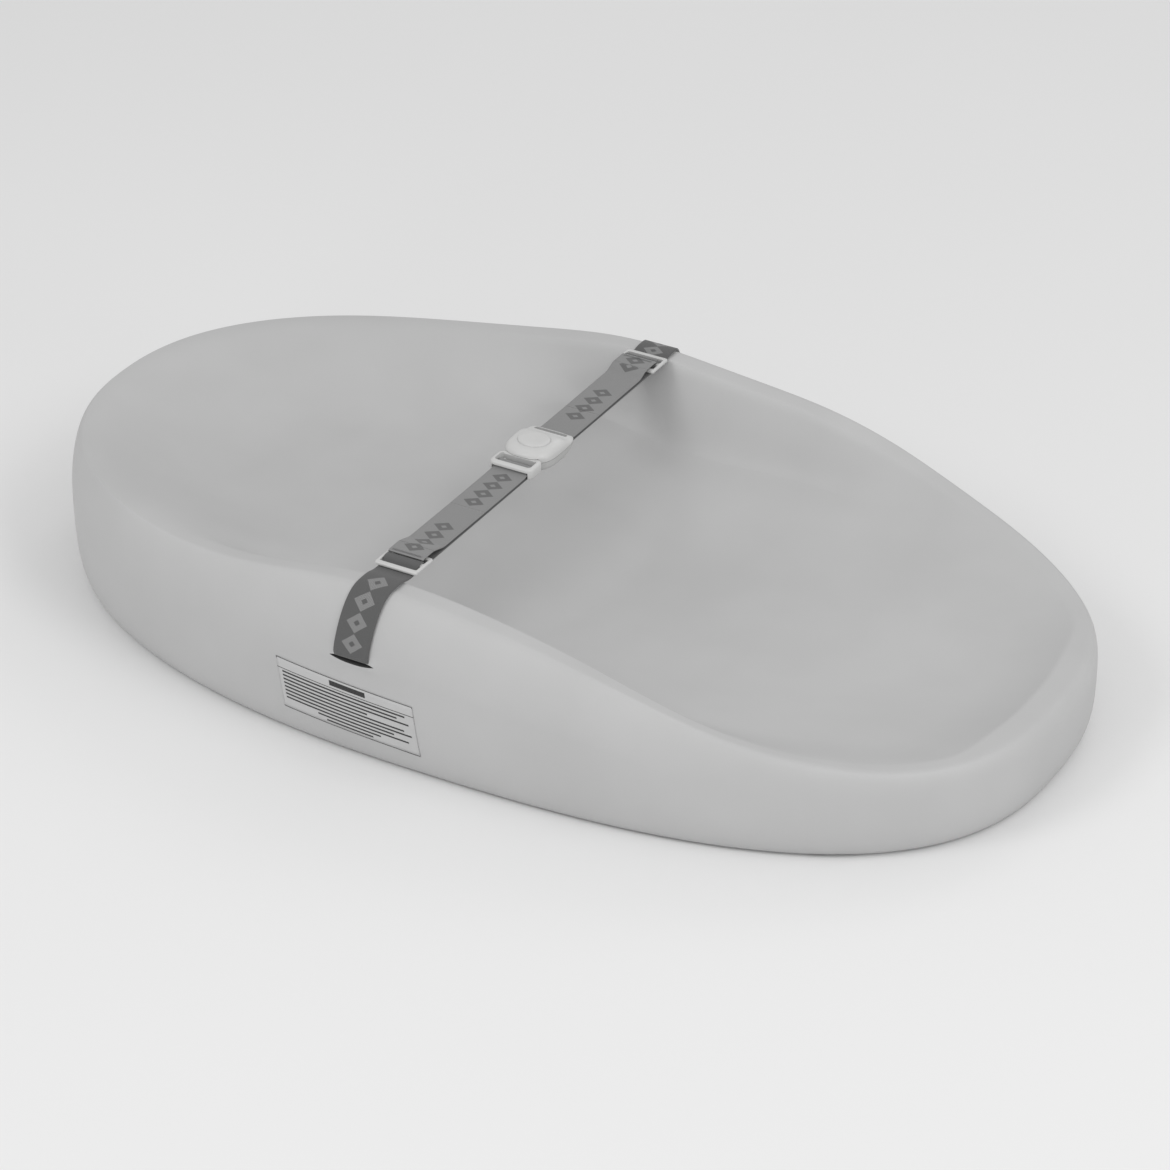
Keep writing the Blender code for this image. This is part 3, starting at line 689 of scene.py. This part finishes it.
FOAM = foam_material()
WHITE = plastic_material("white_plastic_look", (0.57, 0.57, 0.565), 0.36, grey(0.95))
PANEL = plastic_material("panel_film_look", grey(0.50), 0.42, grey(0.96))
ANCHOR = plastic_material("anchor_plastic_look", grey(0.05), 0.5, grey(0.7))
WEB_DARK = webbing_material("webbing_dark_face", grey(0.125), grey(0.33), grey(0.06))
WEB_LIGHT = webbing_material("webbing_light_face", grey(0.285), grey(0.085), grey(0.15))
# Near-black material, painted shade for the inside of the strap slits.
SLIT_PAINTED_SHADE = plastic_material("slit_painted_shade_look", grey(0.07), 0.8, grey(0.7))
LOWER_WHITE = plastic_material("lower_shell_look", (0.47, 0.47, 0.465), 0.4, grey(0.95))
THREAD = thread_material()
INK = ink_material()
STEEL = steel_material()


# ------------------------------------------------------------------- the foam

def sample_angles():
    """Outline angles, closer together at the ends of the strap slits."""
    angles = list(np.linspace(0.0, 2.0 * math.pi, 300, endpoint=False))
    for side in (-1.0, 1.0):
        for end in (-17.0, 17.0):
            for off in (-2.4, -1.6, -1.0, -0.5, 0.0, 0.5, 1.0, 1.6, 2.4):
                angle = float(side_angle(np.float64(SLIT_X + end + off), side))
                angles.append(angle % (2.0 * math.pi))
    return np.array(sorted(angles))


def slit_lip(points, side_normals):
    """Soft raised lip of the foam around the slit the webbing enters."""
    x, y, z = points
    nx, ny = side_normals
    beyond = np.maximum(np.abs(x - SLIT_X) - 16.0, 0.0)
    off = np.maximum(np.abs(z - SLIT_Z + 1.0) - 2.0, 0.0)
    lip = 0.8 * np.exp(-((np.hypot(off, beyond) / 3.4) ** 2))
    return x + nx * lip, y + ny * lip, z


def slit_shape(side):
    """Lens-shaped opening cut into the side wall."""
    count = 28
    profile = []
    for i in range(2 * count):
        share = -1.0 + 2.0 * i / count if i <= count else 3.0 - 2.0 * i / count
        up = 1.0 if i <= count else -1.0
        height = SLIT_HALF_HEIGHT * (1.0 - abs(share) ** 2.4)
        profile.append((SLIT_X + SLIT_HALF * share, SLIT_Z - SLIT_DROP + up * height))
    ys = sorted((side * 190.0, side * 222.0))
    return loft([[(x, y, z) for x, z in profile] for y in ys])


def foam_mesh():
    """Points and faces of the pad, in rings from the base edge over the rim to the floor's middle."""
    t = sample_angles()
    x, y, nx, ny = outline(t)
    u = x / HALF_LENGTH
    top = crest_height(u)
    bulge = BULGE_SHARE * top
    power = shoulder_power(u)
    rings = []
    below_bulge = [0.0, 0.003, 0.01, 0.022, 0.04, 0.065, 0.1, 0.145, 0.2, 0.27, 0.35, 0.44, 0.54, 0.64,
                   0.74, 0.82, 0.88, 0.92, 0.95, 0.962, 0.970, 0.976, 0.982, 0.988, 0.994, 1.0]
    for s in below_bulge:
        step = np.arccos((1.0 - s) ** (BASE_POWER / 2.0))
        inset = BASE_INSET * (1.0 - np.sin(step) ** (2.0 / BASE_POWER))
        ring = (x - nx * inset, y - ny * inset, s * bulge)
        rings.append(slit_lip(ring, (nx, ny)))
    above_bulge = [0.006, 0.013, 0.02, 0.027, 0.034, 0.041, 0.05, 0.065, 0.09, 0.13]
    for s in above_bulge:
        step = np.arcsin(s ** (power / 2.0))
        inset = crest_inset(u) * (1.0 - np.cos(step) ** (2.0 / power))
        ring = (x - nx * inset, y - ny * inset, bulge + (top - bulge) * s)
        rings.append(slit_lip(ring, (nx, ny)))
    first = np.arcsin(above_bulge[-1] ** (power / 2.0))
    for k in range(1, 19):
        step = first + (math.pi / 2.0 - first) * k / 18.0
        inset = crest_inset(u) * (1.0 - np.cos(step) ** (2.0 / power))
        rise = np.sin(step) ** (2.0 / power)
        rings.append((x - nx * inset, y - ny * inset, bulge + (top - bulge) * rise))
    cx, cy, cz = rings[-1]
    radius = np.hypot(cx, cy)
    facing = (cx * nx + cy * ny) / radius
    parts = wall_parts(u)
    start = np.zeros_like(u)
    for part, steps in zip(parts, (4, 8, 6, 12)):
        for k in range(1, steps + 1):
            distance = start + part * k / steps
            scale = 1.0 - distance / facing / radius
            base = floor_height(cx * scale, cy * scale)
            height = base + (cz - base) * (1.0 - wall_drop(distance, parts))
            rings.append((cx * scale, cy * scale, height))
        start = start + part
    tx, ty, _ = rings[-1]
    for k in range(1, 30):
        scale = 1.0 - k / 30.0
        rings.append((tx * scale, ty * scale, floor_height(tx * scale, ty * scale)))
    count = len(t)
    points = [tuple(p) for ring in rings for p in np.stack(ring, 1)]
    faces = [tuple(range(count - 1, -1, -1))] + side_faces(len(rings), count)
    middle = len(points)
    points.append((0.0, 0.0, float(floor_height(0.0, 0.0))))
    last = (len(rings) - 1) * count
    for i in range(count):
        faces.append((last + i, last + (i + 1) % count, middle))
    return points, faces


def build_foam():
    """Foam pad with strap slits and the underside groove; the slits' insides get a near-black material as
    painted shade.
    """
    points, faces = foam_mesh()
    foam = make("pad_foam", points, faces, [FOAM])
    half = GROOVE_WIDTH / 2.0
    profile = [(-half - 1.2, -6.0), (half + 1.2, -6.0), (half, 0.4)]
    profile += [(half - 1.4, GROOVE_DEPTH), (1.4 - half, GROOVE_DEPTH), (-half, 0.4)]
    groove = loft([[(GROOVE_X + a, y, z) for a, z in profile] for y in (-240.0, 240.0)])
    for shape in (groove, slit_shape(-1.0), slit_shape(1.0)):
        combine(foam, shape)
    one_look(foam, FOAM)
    # Second material slot: the painted shade for the slits' insides.
    foam.data.materials.append(SLIT_PAINTED_SHADE)
    smooth_by_angle(foam, 38.0)
    # Faces inside the slit openings take the near-black material, painted shade in the recess.
    for polygon in foam.data.polygons:
        x, y, z = polygon.center / MM
        if abs(x - SLIT_X) < SLIT_HALF + 0.4 and abs(z - SLIT_Z) < SLIT_HALF_HEIGHT + 1.3:
            if 186.0 < abs(y) < abs(wall_point(x, z, 1.0).y) - 1.2:
                polygon.material_index = 1
    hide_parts("foam_body")
    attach(foam, "pad")


# ---------------------------------------------------------------- the webbing

def resample(path, spacing):
    """Points at even spacing along a polyline of (x, y, z)."""
    pts = np.array(path, float)
    gaps = np.linalg.norm(np.diff(pts, axis=0), axis=1)
    reach = np.concatenate([[0.0], np.cumsum(gaps)])
    count = max(2, int(reach[-1] / spacing) + 1)
    want = np.linspace(0.0, reach[-1], count)
    return np.stack([np.interp(want, reach, pts[:, k]) for k in range(3)], 1)


def relax(pts, rounds):
    """Smooth a polyline and keep its ends."""
    pts = pts.copy()
    for _ in range(rounds):
        pts[1:-1] = pts[1:-1] * 0.5 + (pts[:-2] + pts[2:]) * 0.25
    return pts


def ribbon(name, pts, start, thick=WEB_THICK, stretch=1.0):
    """Webbing along centre points, dark on its left and light on its right.

    start and stretch place the woven marks along it.
    """
    pts = np.asarray(pts, float)
    tangent = np.gradient(pts[:, 1:], axis=0)
    tangent /= np.linalg.norm(tangent, axis=1)[:, None]
    across = np.stack([-tangent[:, 1], tangent[:, 0]], 1)
    gaps = np.linalg.norm(np.diff(pts, axis=0), axis=1)
    along = start + stretch * np.concatenate([[0.0], np.cumsum(gaps)])
    half = WEB_WIDTH / 2.0
    flat = [0.5 - half + (WEB_WIDTH - 1.0) * i / 12.0 for i in range(13)]
    edge = ((half - 0.1, 0.30), (half, 0.0), (half - 0.1, -0.30))
    ring = []
    for sign, first, second in ((1.0, DARK_SIDE, LIGHT_SIDE), (-1.0, LIGHT_SIDE, DARK_SIDE)):
        ring += [(sign * dx, sign * thick / 2.0, first) for dx in flat]
        for (dx, share), look in zip(edge, (first, second, second)):
            ring.append((sign * dx, sign * thick * share, look))
    sections = []
    uv = []
    for (x, y, z), (ay, az), v in zip(pts, across, along):
        sections.append([(x + dx, y + ay * off, z + az * off) for dx, off, _ in ring])
        uv += [(dx, v) for dx, _, _ in ring]
    points, faces = loft(sections)
    slots = [DARK_SIDE, DARK_SIDE] + [look for _, _, look in ring] * (len(pts) - 1)
    result = make(name, points, faces, [WEB_DARK, WEB_LIGHT], True, uv, slots)
    return result


def bend(centre, radius, start, end, steps):
    """Points on an arc in Y and Z, angles in degrees."""
    result = []
    for i in range(steps + 1):
        a = math.radians(start + (end - start) * i / steps)
        result.append((centre[0] + radius * math.cos(a), centre[1] + radius * math.sin(a)))
    return result


def outer_path(side):
    """Webbing from its anchor, out of the slit, over the rim to the slider."""
    turn = 2.4
    turn_z = ANCHOR_Z - 3.6
    path = [(SLIT_X, ANCHOR_Y, ANCHOR_Z), (SLIT_X, ANCHOR_Y, turn_z)]
    path += [(SLIT_X, y, z) for y, z in bend((ANCHOR_Y + turn, turn_z), turn, 180.0, 270.0, 8)[1:]]
    exit_y = abs(wall_point(SLIT_X, SLIT_Z, side).y)
    path += [(SLIT_X, y, z) for y, z in bend((exit_y - 1.6, SLIT_Z + 2.6), 3.2, 270.0, 355.0, 8)]
    low = SLIT_Z + 7.0
    high = float(crest_height(STRAP_X / HALF_LENGTH)) - 0.02
    surface = []
    for i in range(37):
        share = i / 36.0
        z = low + (high - low) * math.sin(share * math.pi / 2.0)
        x = SLIT_X + (STRAP_X - SLIT_X) * share
        surface.append((x, abs(wall_point(x, z, side).y), z))
    for (x, y, z), (_, next_y, next_z) in zip(surface, surface[1:]):
        slope = Vector((next_y - y, next_z - z)).normalized()
        path.append((x, y + slope.y * RIM_GAP, z - slope.x * RIM_GAP))
    path += [(STRAP_X, 177.6, 126.85), (STRAP_X, 171.0, LOW_PLY), (STRAP_X, LOOP_START, LOW_PLY)]
    pts = relax(resample(path, 1.6), 6)
    pts[:, 1] *= side
    return pts


def strap_points(path, side, spacing, rounds):
    """Even points along the (distance from the middle, height) path of one strap half."""
    pts = relax(resample([(STRAP_X, side * y, z) for y, z in path], spacing), rounds)
    return pts[::-1] if side > 0 else pts


def build_over_rim(word, side):
    """Webbing from its anchor over the rim."""
    pts = outer_path(side)
    start, stretch = RIM_MARKS[word]
    rise = ribbon(word + "_strap_over_rim", pts[::-1] if side > 0 else pts, start, WEB_THICK, stretch)
    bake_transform(rise)
    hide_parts(word + "_webbing_riser")


def build_loop(word, side):
    """Lower ply, the turn round the buckle's web bar and the first part of the upper ply."""
    bar = HOUSING_BAR_Y + BUCKLE_OFF_MIDDLE
    if side < 0:
        bar = -TONGUE_BAR_Y - BUCKLE_OFF_MIDDLE
    path = [(LOOP_START, LOW_PLY), (bar + 30.0, LOW_PLY), (bar + 6.0, LOW_PLY)]
    path += bend((bar, BAR_Z), HIGH_PLY - BAR_Z, 270.0, 90.0, 16)
    path += [(bar + 10.0, TOP_PLY + 0.2), (bar + 16.0, TOP_PLY), (RETURN_START, TOP_PLY)]
    loop = ribbon(word + "_strap_loop", strap_points(path, side, 1.0, 3), LOOP_MARKS[word])
    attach(loop, word + "_strap")
    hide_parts(word + "_webbing_loop")
    if side < 0:
        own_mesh(loop)


def build_return(word, side):
    """Upper ply climbing to the slider."""
    inner = SLIDER_IN - SLIDER_OFF[word]
    reach = inner - 4.0
    path = [(RETURN_START, TOP_PLY), (CLIMB_START[word], 127.0), (inner - 6.0, 130.2), (reach, 130.4)]
    slack = ribbon(word + "_strap_return", strap_points(path, side, 1.6, 2), RETURN_MARKS[word])
    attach(slack, word + "_strap")
    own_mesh(slack)


def build_fold(word, side):
    """Folded end of the webbing on the slider, and the length that climbs over its middle bar."""
    inner = SLIDER_IN - SLIDER_OFF[word]
    end = inner + TAIL_END[word]
    path = [(inner - 4.0, 130.4), (inner - 2.0, END_PLY), (end - 1.6, END_PLY), (end - 0.6, 130.3),
            (end, 129.9)]
    tail = ribbon(word + "_strap_end", strap_points(path, side, 0.5, 2), TAIL_MARKS[word], FOLD_THICK)
    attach(tail, word + "_slider_body")
    hump = ((17.4, 125.6), (15.2, 126.9), (13.7, 128.6), (12.4, 129.05), (9.6, 129.05), (8.3, 128.6),
            (6.8, 126.9), (4.8, 125.6))
    pts = strap_points([(inner + y, z) for y, z in hump], side, 0.5, 2)
    crossing = ribbon(word + "_strap_over_bar", pts, CROSSING_MARKS, CROSSING_THICK)
    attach(crossing, word + "_slider_body")


def build_webbing():
    """Both strap halves, each split only where a joint moves part of it."""
    for word, side in SIDES:
        build_over_rim(word, side)
        build_loop(word, side)
        build_return(word, side)
        build_fold(word, side)


# ------------------------------------------------------- sliders and stitches

def build_slider(word, side):
    """Three-bar slider with rounded bars."""
    ys = sorted((side * SLIDER_IN, side * SLIDER_OUT))
    levels = [(0.7, SLIDER_LOW), (0.2, SLIDER_LOW + 0.25), (0.0, SLIDER_LOW + 0.7)]
    levels += [(0.0, SLIDER_HIGH - 0.7), (0.2, SLIDER_HIGH - 0.25), (0.7, SLIDER_HIGH)]
    sections = []
    for inset, z in levels:
        low = (STRAP_X - SLIDER_HALF + inset, ys[0] + inset)
        high = (STRAP_X + SLIDER_HALF - inset, ys[1] - inset)
        sections.append([(x, y, z) for x, y in rounded_rectangle(low, high, 1.9 - inset, 5)])
    points, faces = loft(sections)
    slider = make(word + "_slider_frame", points, faces, [WHITE])
    for span in SLIDER_WINDOWS:
        ys = sorted((side * span[0], side * span[1]))
        hole = rounded_rectangle((STRAP_X - WINDOW_HALF, ys[0]), (STRAP_X + WINDOW_HALF, ys[1]), 0.8, 3)
        combine(slider, prism(hole, SLIDER_LOW - 5.0, SLIDER_HIGH + 5.0))
    round_edges(slider, 0.45, 3)
    one_look(slider, WHITE)
    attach(slider, word + "_slider_body")
    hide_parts(word + "_slider")


def build_tack(word, side):
    """Bar tack: a zigzag of thread across the folded webbing's end."""
    curve = bpy.data.curves.new(word + "_tack", "CURVE")
    curve.dimensions = "3D"
    curve.bevel_depth = 0.14 * MM
    curve.bevel_resolution = 2
    spline = curve.splines.new("POLY")
    count = 45
    spline.points.add(count - 1)
    for i in range(count):
        x = STRAP_X - TACK_HALF + 2.0 * TACK_HALF * i / (count - 1)
        y = side * (TACK_Y + (TACK_STITCH if i % 2 else -TACK_STITCH) - SLIDER_OFF[word])
        spline.points[i].co = (x * MM, y * MM, TACK_Z * MM, 1.0)
    curve.materials.append(THREAD)
    result = bpy.data.objects.new(word + "_bar_tack_thread", curve)
    bpy.context.scene.collection.objects.link(result)
    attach(result, word + "_slider_body")
    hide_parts(word + "_bar_tack")


# ----------------------------------------------------------------- the buckle

def housing_outline(shrink):
    """Plan outline of the buckle housing, rounded towards the tongue."""
    depth = ARC_MIDDLE - HOUSING_FRONT - shrink
    half = HOUSING_HALF - shrink
    result = []
    for i in range(2 * HOUSING_ARC + 1):
        a = math.pi + math.pi * i / (2 * HOUSING_ARC)
        x = STRAP_X + half * float(signed_power(math.cos(a), 2.0 / ARC_POWER))
        result.append((x, ARC_MIDDLE + depth * float(signed_power(math.sin(a), 2.0 / ARC_POWER))))
    waist = [(half - dx, y - min(shrink, 2.0) * float(smooth((y - 28.0) / 5.0))) for dx, y in HOUSING_WAIST]
    result += [(STRAP_X + dx, y) for dx, y in waist]
    result += [(STRAP_X - dx, y) for dx, y in waist[::-1]]
    return result


def housing_height(y, z):
    """Lower the cover and raise the base towards the webbing's end."""
    if z > SHELL_SPLIT:
        low = SHELL_SPLIT + SHELL_GAP
        return low + (z - low) * (1.0 - 0.6 * float(smooth((y - 17.0) / 9.0)))
    return SHELL_SPLIT - (SHELL_SPLIT - z) * (1.0 - 0.45 * float(smooth((y - 14.0) / 16.0)))


def shell(levels):
    """Points and faces of a housing half through outlines of (shrink, height)."""
    sections = [[(x, y, housing_height(y, z)) for x, y in housing_outline(s)] for s, z in levels]
    points, faces = loft(sections)
    count = len(sections[0])
    rungs = [(HOUSING_ARC - i, HOUSING_ARC + i) for i in range(1, HOUSING_ARC + 1)]
    rungs += [(count - k, 2 * HOUSING_ARC + k) for k in range(1, len(HOUSING_WAIST) + 1)]
    faces = faces[2:]
    for start in (0, len(points) - count):
        faces.append((start + HOUSING_ARC, start + rungs[0][0], start + rungs[0][1]))
        for (a, b), (c, d) in zip(rungs, rungs[1:]):
            faces.append((start + a, start + b, start + d, start + c))
    return points, faces


def rod(y, z, half):
    """Points and faces of a round bar along X, centred on the strap."""
    angles = np.linspace(0.0, 2.0 * math.pi, 24, endpoint=False)
    ring = [(y + BAR_RADIUS * math.cos(a), z + BAR_RADIUS * math.sin(a)) for a in angles]
    return loft([[(x, b, c) for b, c in ring] for x in (STRAP_X - half, STRAP_X + half)])


def build_housing():
    """Lower and upper shell of the buckle, with rounded edges, and its web bar."""
    insides = [strap_box(*span) for span in (HOUSING_WELL, HOUSING_MOUTH, HOUSING_STEP)]
    lane = loft([[(x, y, z) for y, z in LANE] for x in (STRAP_X - WINDOW_HALF, STRAP_X + WINDOW_HALF)])
    button_hole = prism(oval(BUTTON_HALF_X + BUTTON_GAP, BUTTON_HALF_Y + BUTTON_GAP), 131.0, 142.0)
    low, high = [(STRAP_X + dx, y) for dx, y in zip((-SLOT_HALF, SLOT_HALF), SLOT_SPAN)]
    slot = prism(rounded_rectangle(low, high, 0.9, 4), 129.0, 142.0)
    insides.append(lane)
    base = ("buckle_lower_shell", "buckle_base", BASE_LEVELS, LOWER_WHITE, insides)
    cover = ("buckle_upper_shell", "buckle_cover", COVER_LEVELS, WHITE, insides + [button_hole, slot])
    for name, node, levels, look, cuts in (base, cover):
        points, faces = shell(levels)
        half = make(name, points, faces, [WHITE])
        for cut in cuts:
            combine(half, cut)
        round_edges(half, 0.25, 2, 50.0)
        one_look(half, look)
        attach(half, "far_strap")
        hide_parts(node)
    points, faces = rod(HOUSING_BAR_Y, BAR_Z, WEB_BAR_HALF)
    bar = make("buckle_web_bar", points, faces, [WHITE])
    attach(bar, "far_strap")


def oval(half_x, half_y, steps=64):
    """Oval outline centred on the release button."""
    angles = [2.0 * math.pi * i / steps for i in range(steps)]
    return [(STRAP_X + half_x * math.cos(a), BUTTON_Y + half_y * math.sin(a)) for a in angles]


def build_button():
    """Release button with a soft dome, legs and catch."""
    sections = []
    for shrink, z in BUTTON_LEVELS:
        sections.append([(x, y, z) for x, y in oval(BUTTON_HALF_X - shrink, BUTTON_HALF_Y - shrink)])
    points, faces = loft(sections)
    cap = make("release_button_cap", points, faces, [WHITE])
    for sign in (-1.0, 1.0):
        xs = sorted((STRAP_X + sign * LEG_INNER, STRAP_X + sign * LEG_OUTER))
        leg = box_shape((xs[0], LEG_SPAN[0], LEG_LOW), (xs[1], LEG_SPAN[1], LEG_HIGH))
        combine(cap, leg, "UNION")
    combine(cap, strap_box(*BUTTON_BRIDGE), "UNION")
    one_look(cap, WHITE)
    smooth_by_angle(cap, 40.0)
    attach(cap, "button")
    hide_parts("release_button")


def build_spring():
    """Coil spring under the release button."""
    steps = 72
    sections = []
    for i in range(steps + 1):
        share = i / steps
        a = 2.0 * math.pi * SPRING_TURNS * share
        middle = SPRING_LOW + (SPRING_HIGH - SPRING_LOW) * share
        ring = []
        for k in range(8):
            b = 2.0 * math.pi * k / 8.0
            out = SPRING_RADIUS + SPRING_WIRE * math.cos(b)
            z = middle + SPRING_WIRE * math.sin(b)
            ring.append((STRAP_X + out * math.cos(a), BUTTON_Y + out * math.sin(a), z))
        sections.append(ring)
    points, faces = loft(sections)
    spring = make("release_spring", points, faces, [STEEL])
    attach(spring, "far_strap")
    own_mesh(spring)
    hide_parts("button_spring")


def build_tongue():
    """Buckle tongue: rounded webbing frame, web bar and latch plate."""
    sections = []
    for inset, z in TONGUE_LEVELS:
        low = (STRAP_X - TONGUE_HALF + inset, TONGUE_FRONT + inset)
        high = (STRAP_X + TONGUE_HALF - inset, TONGUE_BACK - inset * 0.3)
        sections.append([(x, y, z) for x, y in rounded_rectangle(low, high, 4.6 - inset, 8)])
    points, faces = loft(sections)
    tongue = make("buckle_tongue_frame", points, faces, [WHITE])
    low, high = [(STRAP_X + dx, y) for dx, y in zip((-WINDOW_HALF, WINDOW_HALF), TONGUE_WINDOW)]
    combine(tongue, prism(rounded_rectangle(low, high, 2.2, 6), 115.0, 150.0))
    for cut in (TONGUE_LANE, *TONGUE_STEPS):
        combine(tongue, strap_box(*cut))
    combine(tongue, rod(TONGUE_BAR_Y, BAR_Z, TONGUE_BAR_HALF), "UNION")
    combine(tongue, strap_box(*LATCH_PLATE), "UNION")
    combine(tongue, strap_box(*LATCH_HOLE))
    round_edges(tongue, 0.4, 3, 40.0)
    one_look(tongue, WHITE)
    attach(tongue, "tongue")
    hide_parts("buckle_tongue")


# ------------------------------------------------------- the printed panel

def panel_spot(u, v, lift):
    """Point on the near wall at panel coordinates from 0 to 1."""
    x = PANEL_X + PANEL_WIDTH * u - PANEL_LEAN * v
    z = PANEL_Z + PANEL_HEIGHT * v - PANEL_FALL * u
    return wall_point(x, z, -1.0, lift)


def panel_patch(low, high, lift, points, faces, columns):
    """Thin closed strip of print lying on the panel."""
    first = len(points)
    for h in (lift, lift + 0.05):
        for v in (low[1], high[1]):
            for i in range(columns + 1):
                u = low[0] + (high[0] - low[0]) * i / columns
                points.append(panel_spot(u, v, h))
    row = columns + 1
    for i in range(columns):
        a = first + i
        b = a + 2 * row
        faces += [(a, a + row, a + row + 1, a + 1), (b, b + 1, b + row + 1, b + row)]
        faces += [(a, a + 1, b + 1, b), (a + row, b + row, b + row + 1, a + row + 1)]
    for i in (0, columns):
        a = first + i
        b = a + 2 * row
        faces.append((a, b, b + row, a + row))


def build_panel():
    """Information panel with a border and plain bars in place of lettering."""
    points = []
    faces = []
    columns = 48
    rows = 12
    for lift in (FILM_BACK, FILM_FACE):
        for j in range(rows + 1):
            for i in range(columns + 1):
                points.append(panel_spot(i / columns, j / rows, lift))
    row = columns + 1
    layer = row * (rows + 1)
    for j in range(rows):
        for i in range(columns):
            a = j * row + i
            faces.append((a, a + row, a + row + 1, a + 1))
            faces.append((layer + a, layer + a + 1, layer + a + row + 1, layer + a + row))
    edge = list(range(row)) + [j * row + columns for j in range(1, rows + 1)]
    edge += [rows * row + i for i in range(columns - 1, -1, -1)]
    edge += [j * row for j in range(rows - 1, 0, -1)]
    for i, a in enumerate(edge):
        b = edge[(i + 1) % len(edge)]
        faces.append((a, b, layer + b, layer + a))
    panel = make("panel_film", points, faces, [PANEL])
    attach(panel, "pad")
    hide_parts("info_panel")
    points = []
    faces = []
    lines = (((0, 0), (1, BORDER_HEIGHT)), ((0, 1 - BORDER_HEIGHT), (1, 1)), ((0, 0), (BORDER_WIDTH, 1)),
             ((1 - BORDER_WIDTH, 0), (1, 1)), ((0, RULE_AT), (1, RULE_AT + BORDER_HEIGHT)), TITLE_BOX)
    for low, high in lines:
        panel_patch(low, high, PRINT_LIFT, points, faces, 30)
    for i, width in enumerate(BAR_WIDTHS):
        top = BAR_TOP - BAR_STEP * i
        start = BAR_LEFT if i < BARS_ON_LEFT else 0.5 - width / 2.0
        panel_patch((start, top - BAR_HEIGHT), (start + width, top), PRINT_LIFT, points, faces, 24)
    ink = make("panel_bars", points, faces, [INK], False)
    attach(ink, "pad")


# ---------------------------------------------------------- carried-over nodes

def dress_cad_nodes():
    """Materials of the hidden CAD nodes that stay as they are."""
    for word, _ in SIDES:
        one_look(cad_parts[word + "_anchor_plate"], ANCHOR)
        one_look(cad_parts[word + "_anchor_stitch"], THREAD)


# ------------------------------------------------------------ camera and light

def aim(target, spot, look_at):
    """Place an object and point its -Z axis at a point."""
    target.location = spot
    way = Vector(look_at) - Vector(spot)
    target.rotation_euler = way.to_track_quat("-Z", "Y").to_euler()


def add_light(name, spot, look_at, size, power):
    """Soft area light."""
    data = bpy.data.lights.new(name, "AREA")
    data.shape = "DISK"
    data.size = size
    data.energy = power
    light = bpy.data.objects.new(name, data)
    bpy.context.scene.collection.objects.link(light)
    aim(light, spot, look_at)


def build_studio():
    """Pale floor, soft lights and the camera."""
    floor = make("floor", [(-6000, -6000, 0), (6000, -6000, 0), (6000, 6000, 0), (-6000, 6000, 0)],
                 [(0, 1, 2, 3)], [floor_material()], False)
    floor.location.z = -0.0002
    world = bpy.data.worlds.new("studio")
    bpy.context.scene.world = world
    world.use_nodes = True
    background = world.node_tree.nodes["Background"]
    background.inputs["Color"].default_value = (1.0, 1.0, 1.0, 1.0)
    background.inputs["Strength"].default_value = WORLD_STRENGTH
    for name, spot, size, power in LIGHTS:
        add_light(name, spot, LIGHT_AIM, size, power)
    camera = bpy.data.objects.new("camera", bpy.data.cameras.new("camera"))
    bpy.context.scene.collection.objects.link(camera)
    camera.data.lens = CAMERA_LENS
    camera.data.sensor_width = 36.0
    camera.data.clip_end = 50.0
    aim(camera, CAMERA_SPOT, CAMERA_AIM)
    bpy.context.scene.camera = camera
    bpy.context.scene.view_settings.view_transform = "Standard"


build_foam()
build_webbing()
for word, side in SIDES:
    placing["y"] = -side * SLIDER_OFF[word]
    build_slider(word, side)
    build_tack(word, side)
placing["y"] = BUCKLE_OFF_MIDDLE
build_tongue()
build_housing()
build_button()
build_spring()
placing["y"] = 0.0
build_panel()
dress_cad_nodes()
build_studio()

bpy.context.view_layer.update()
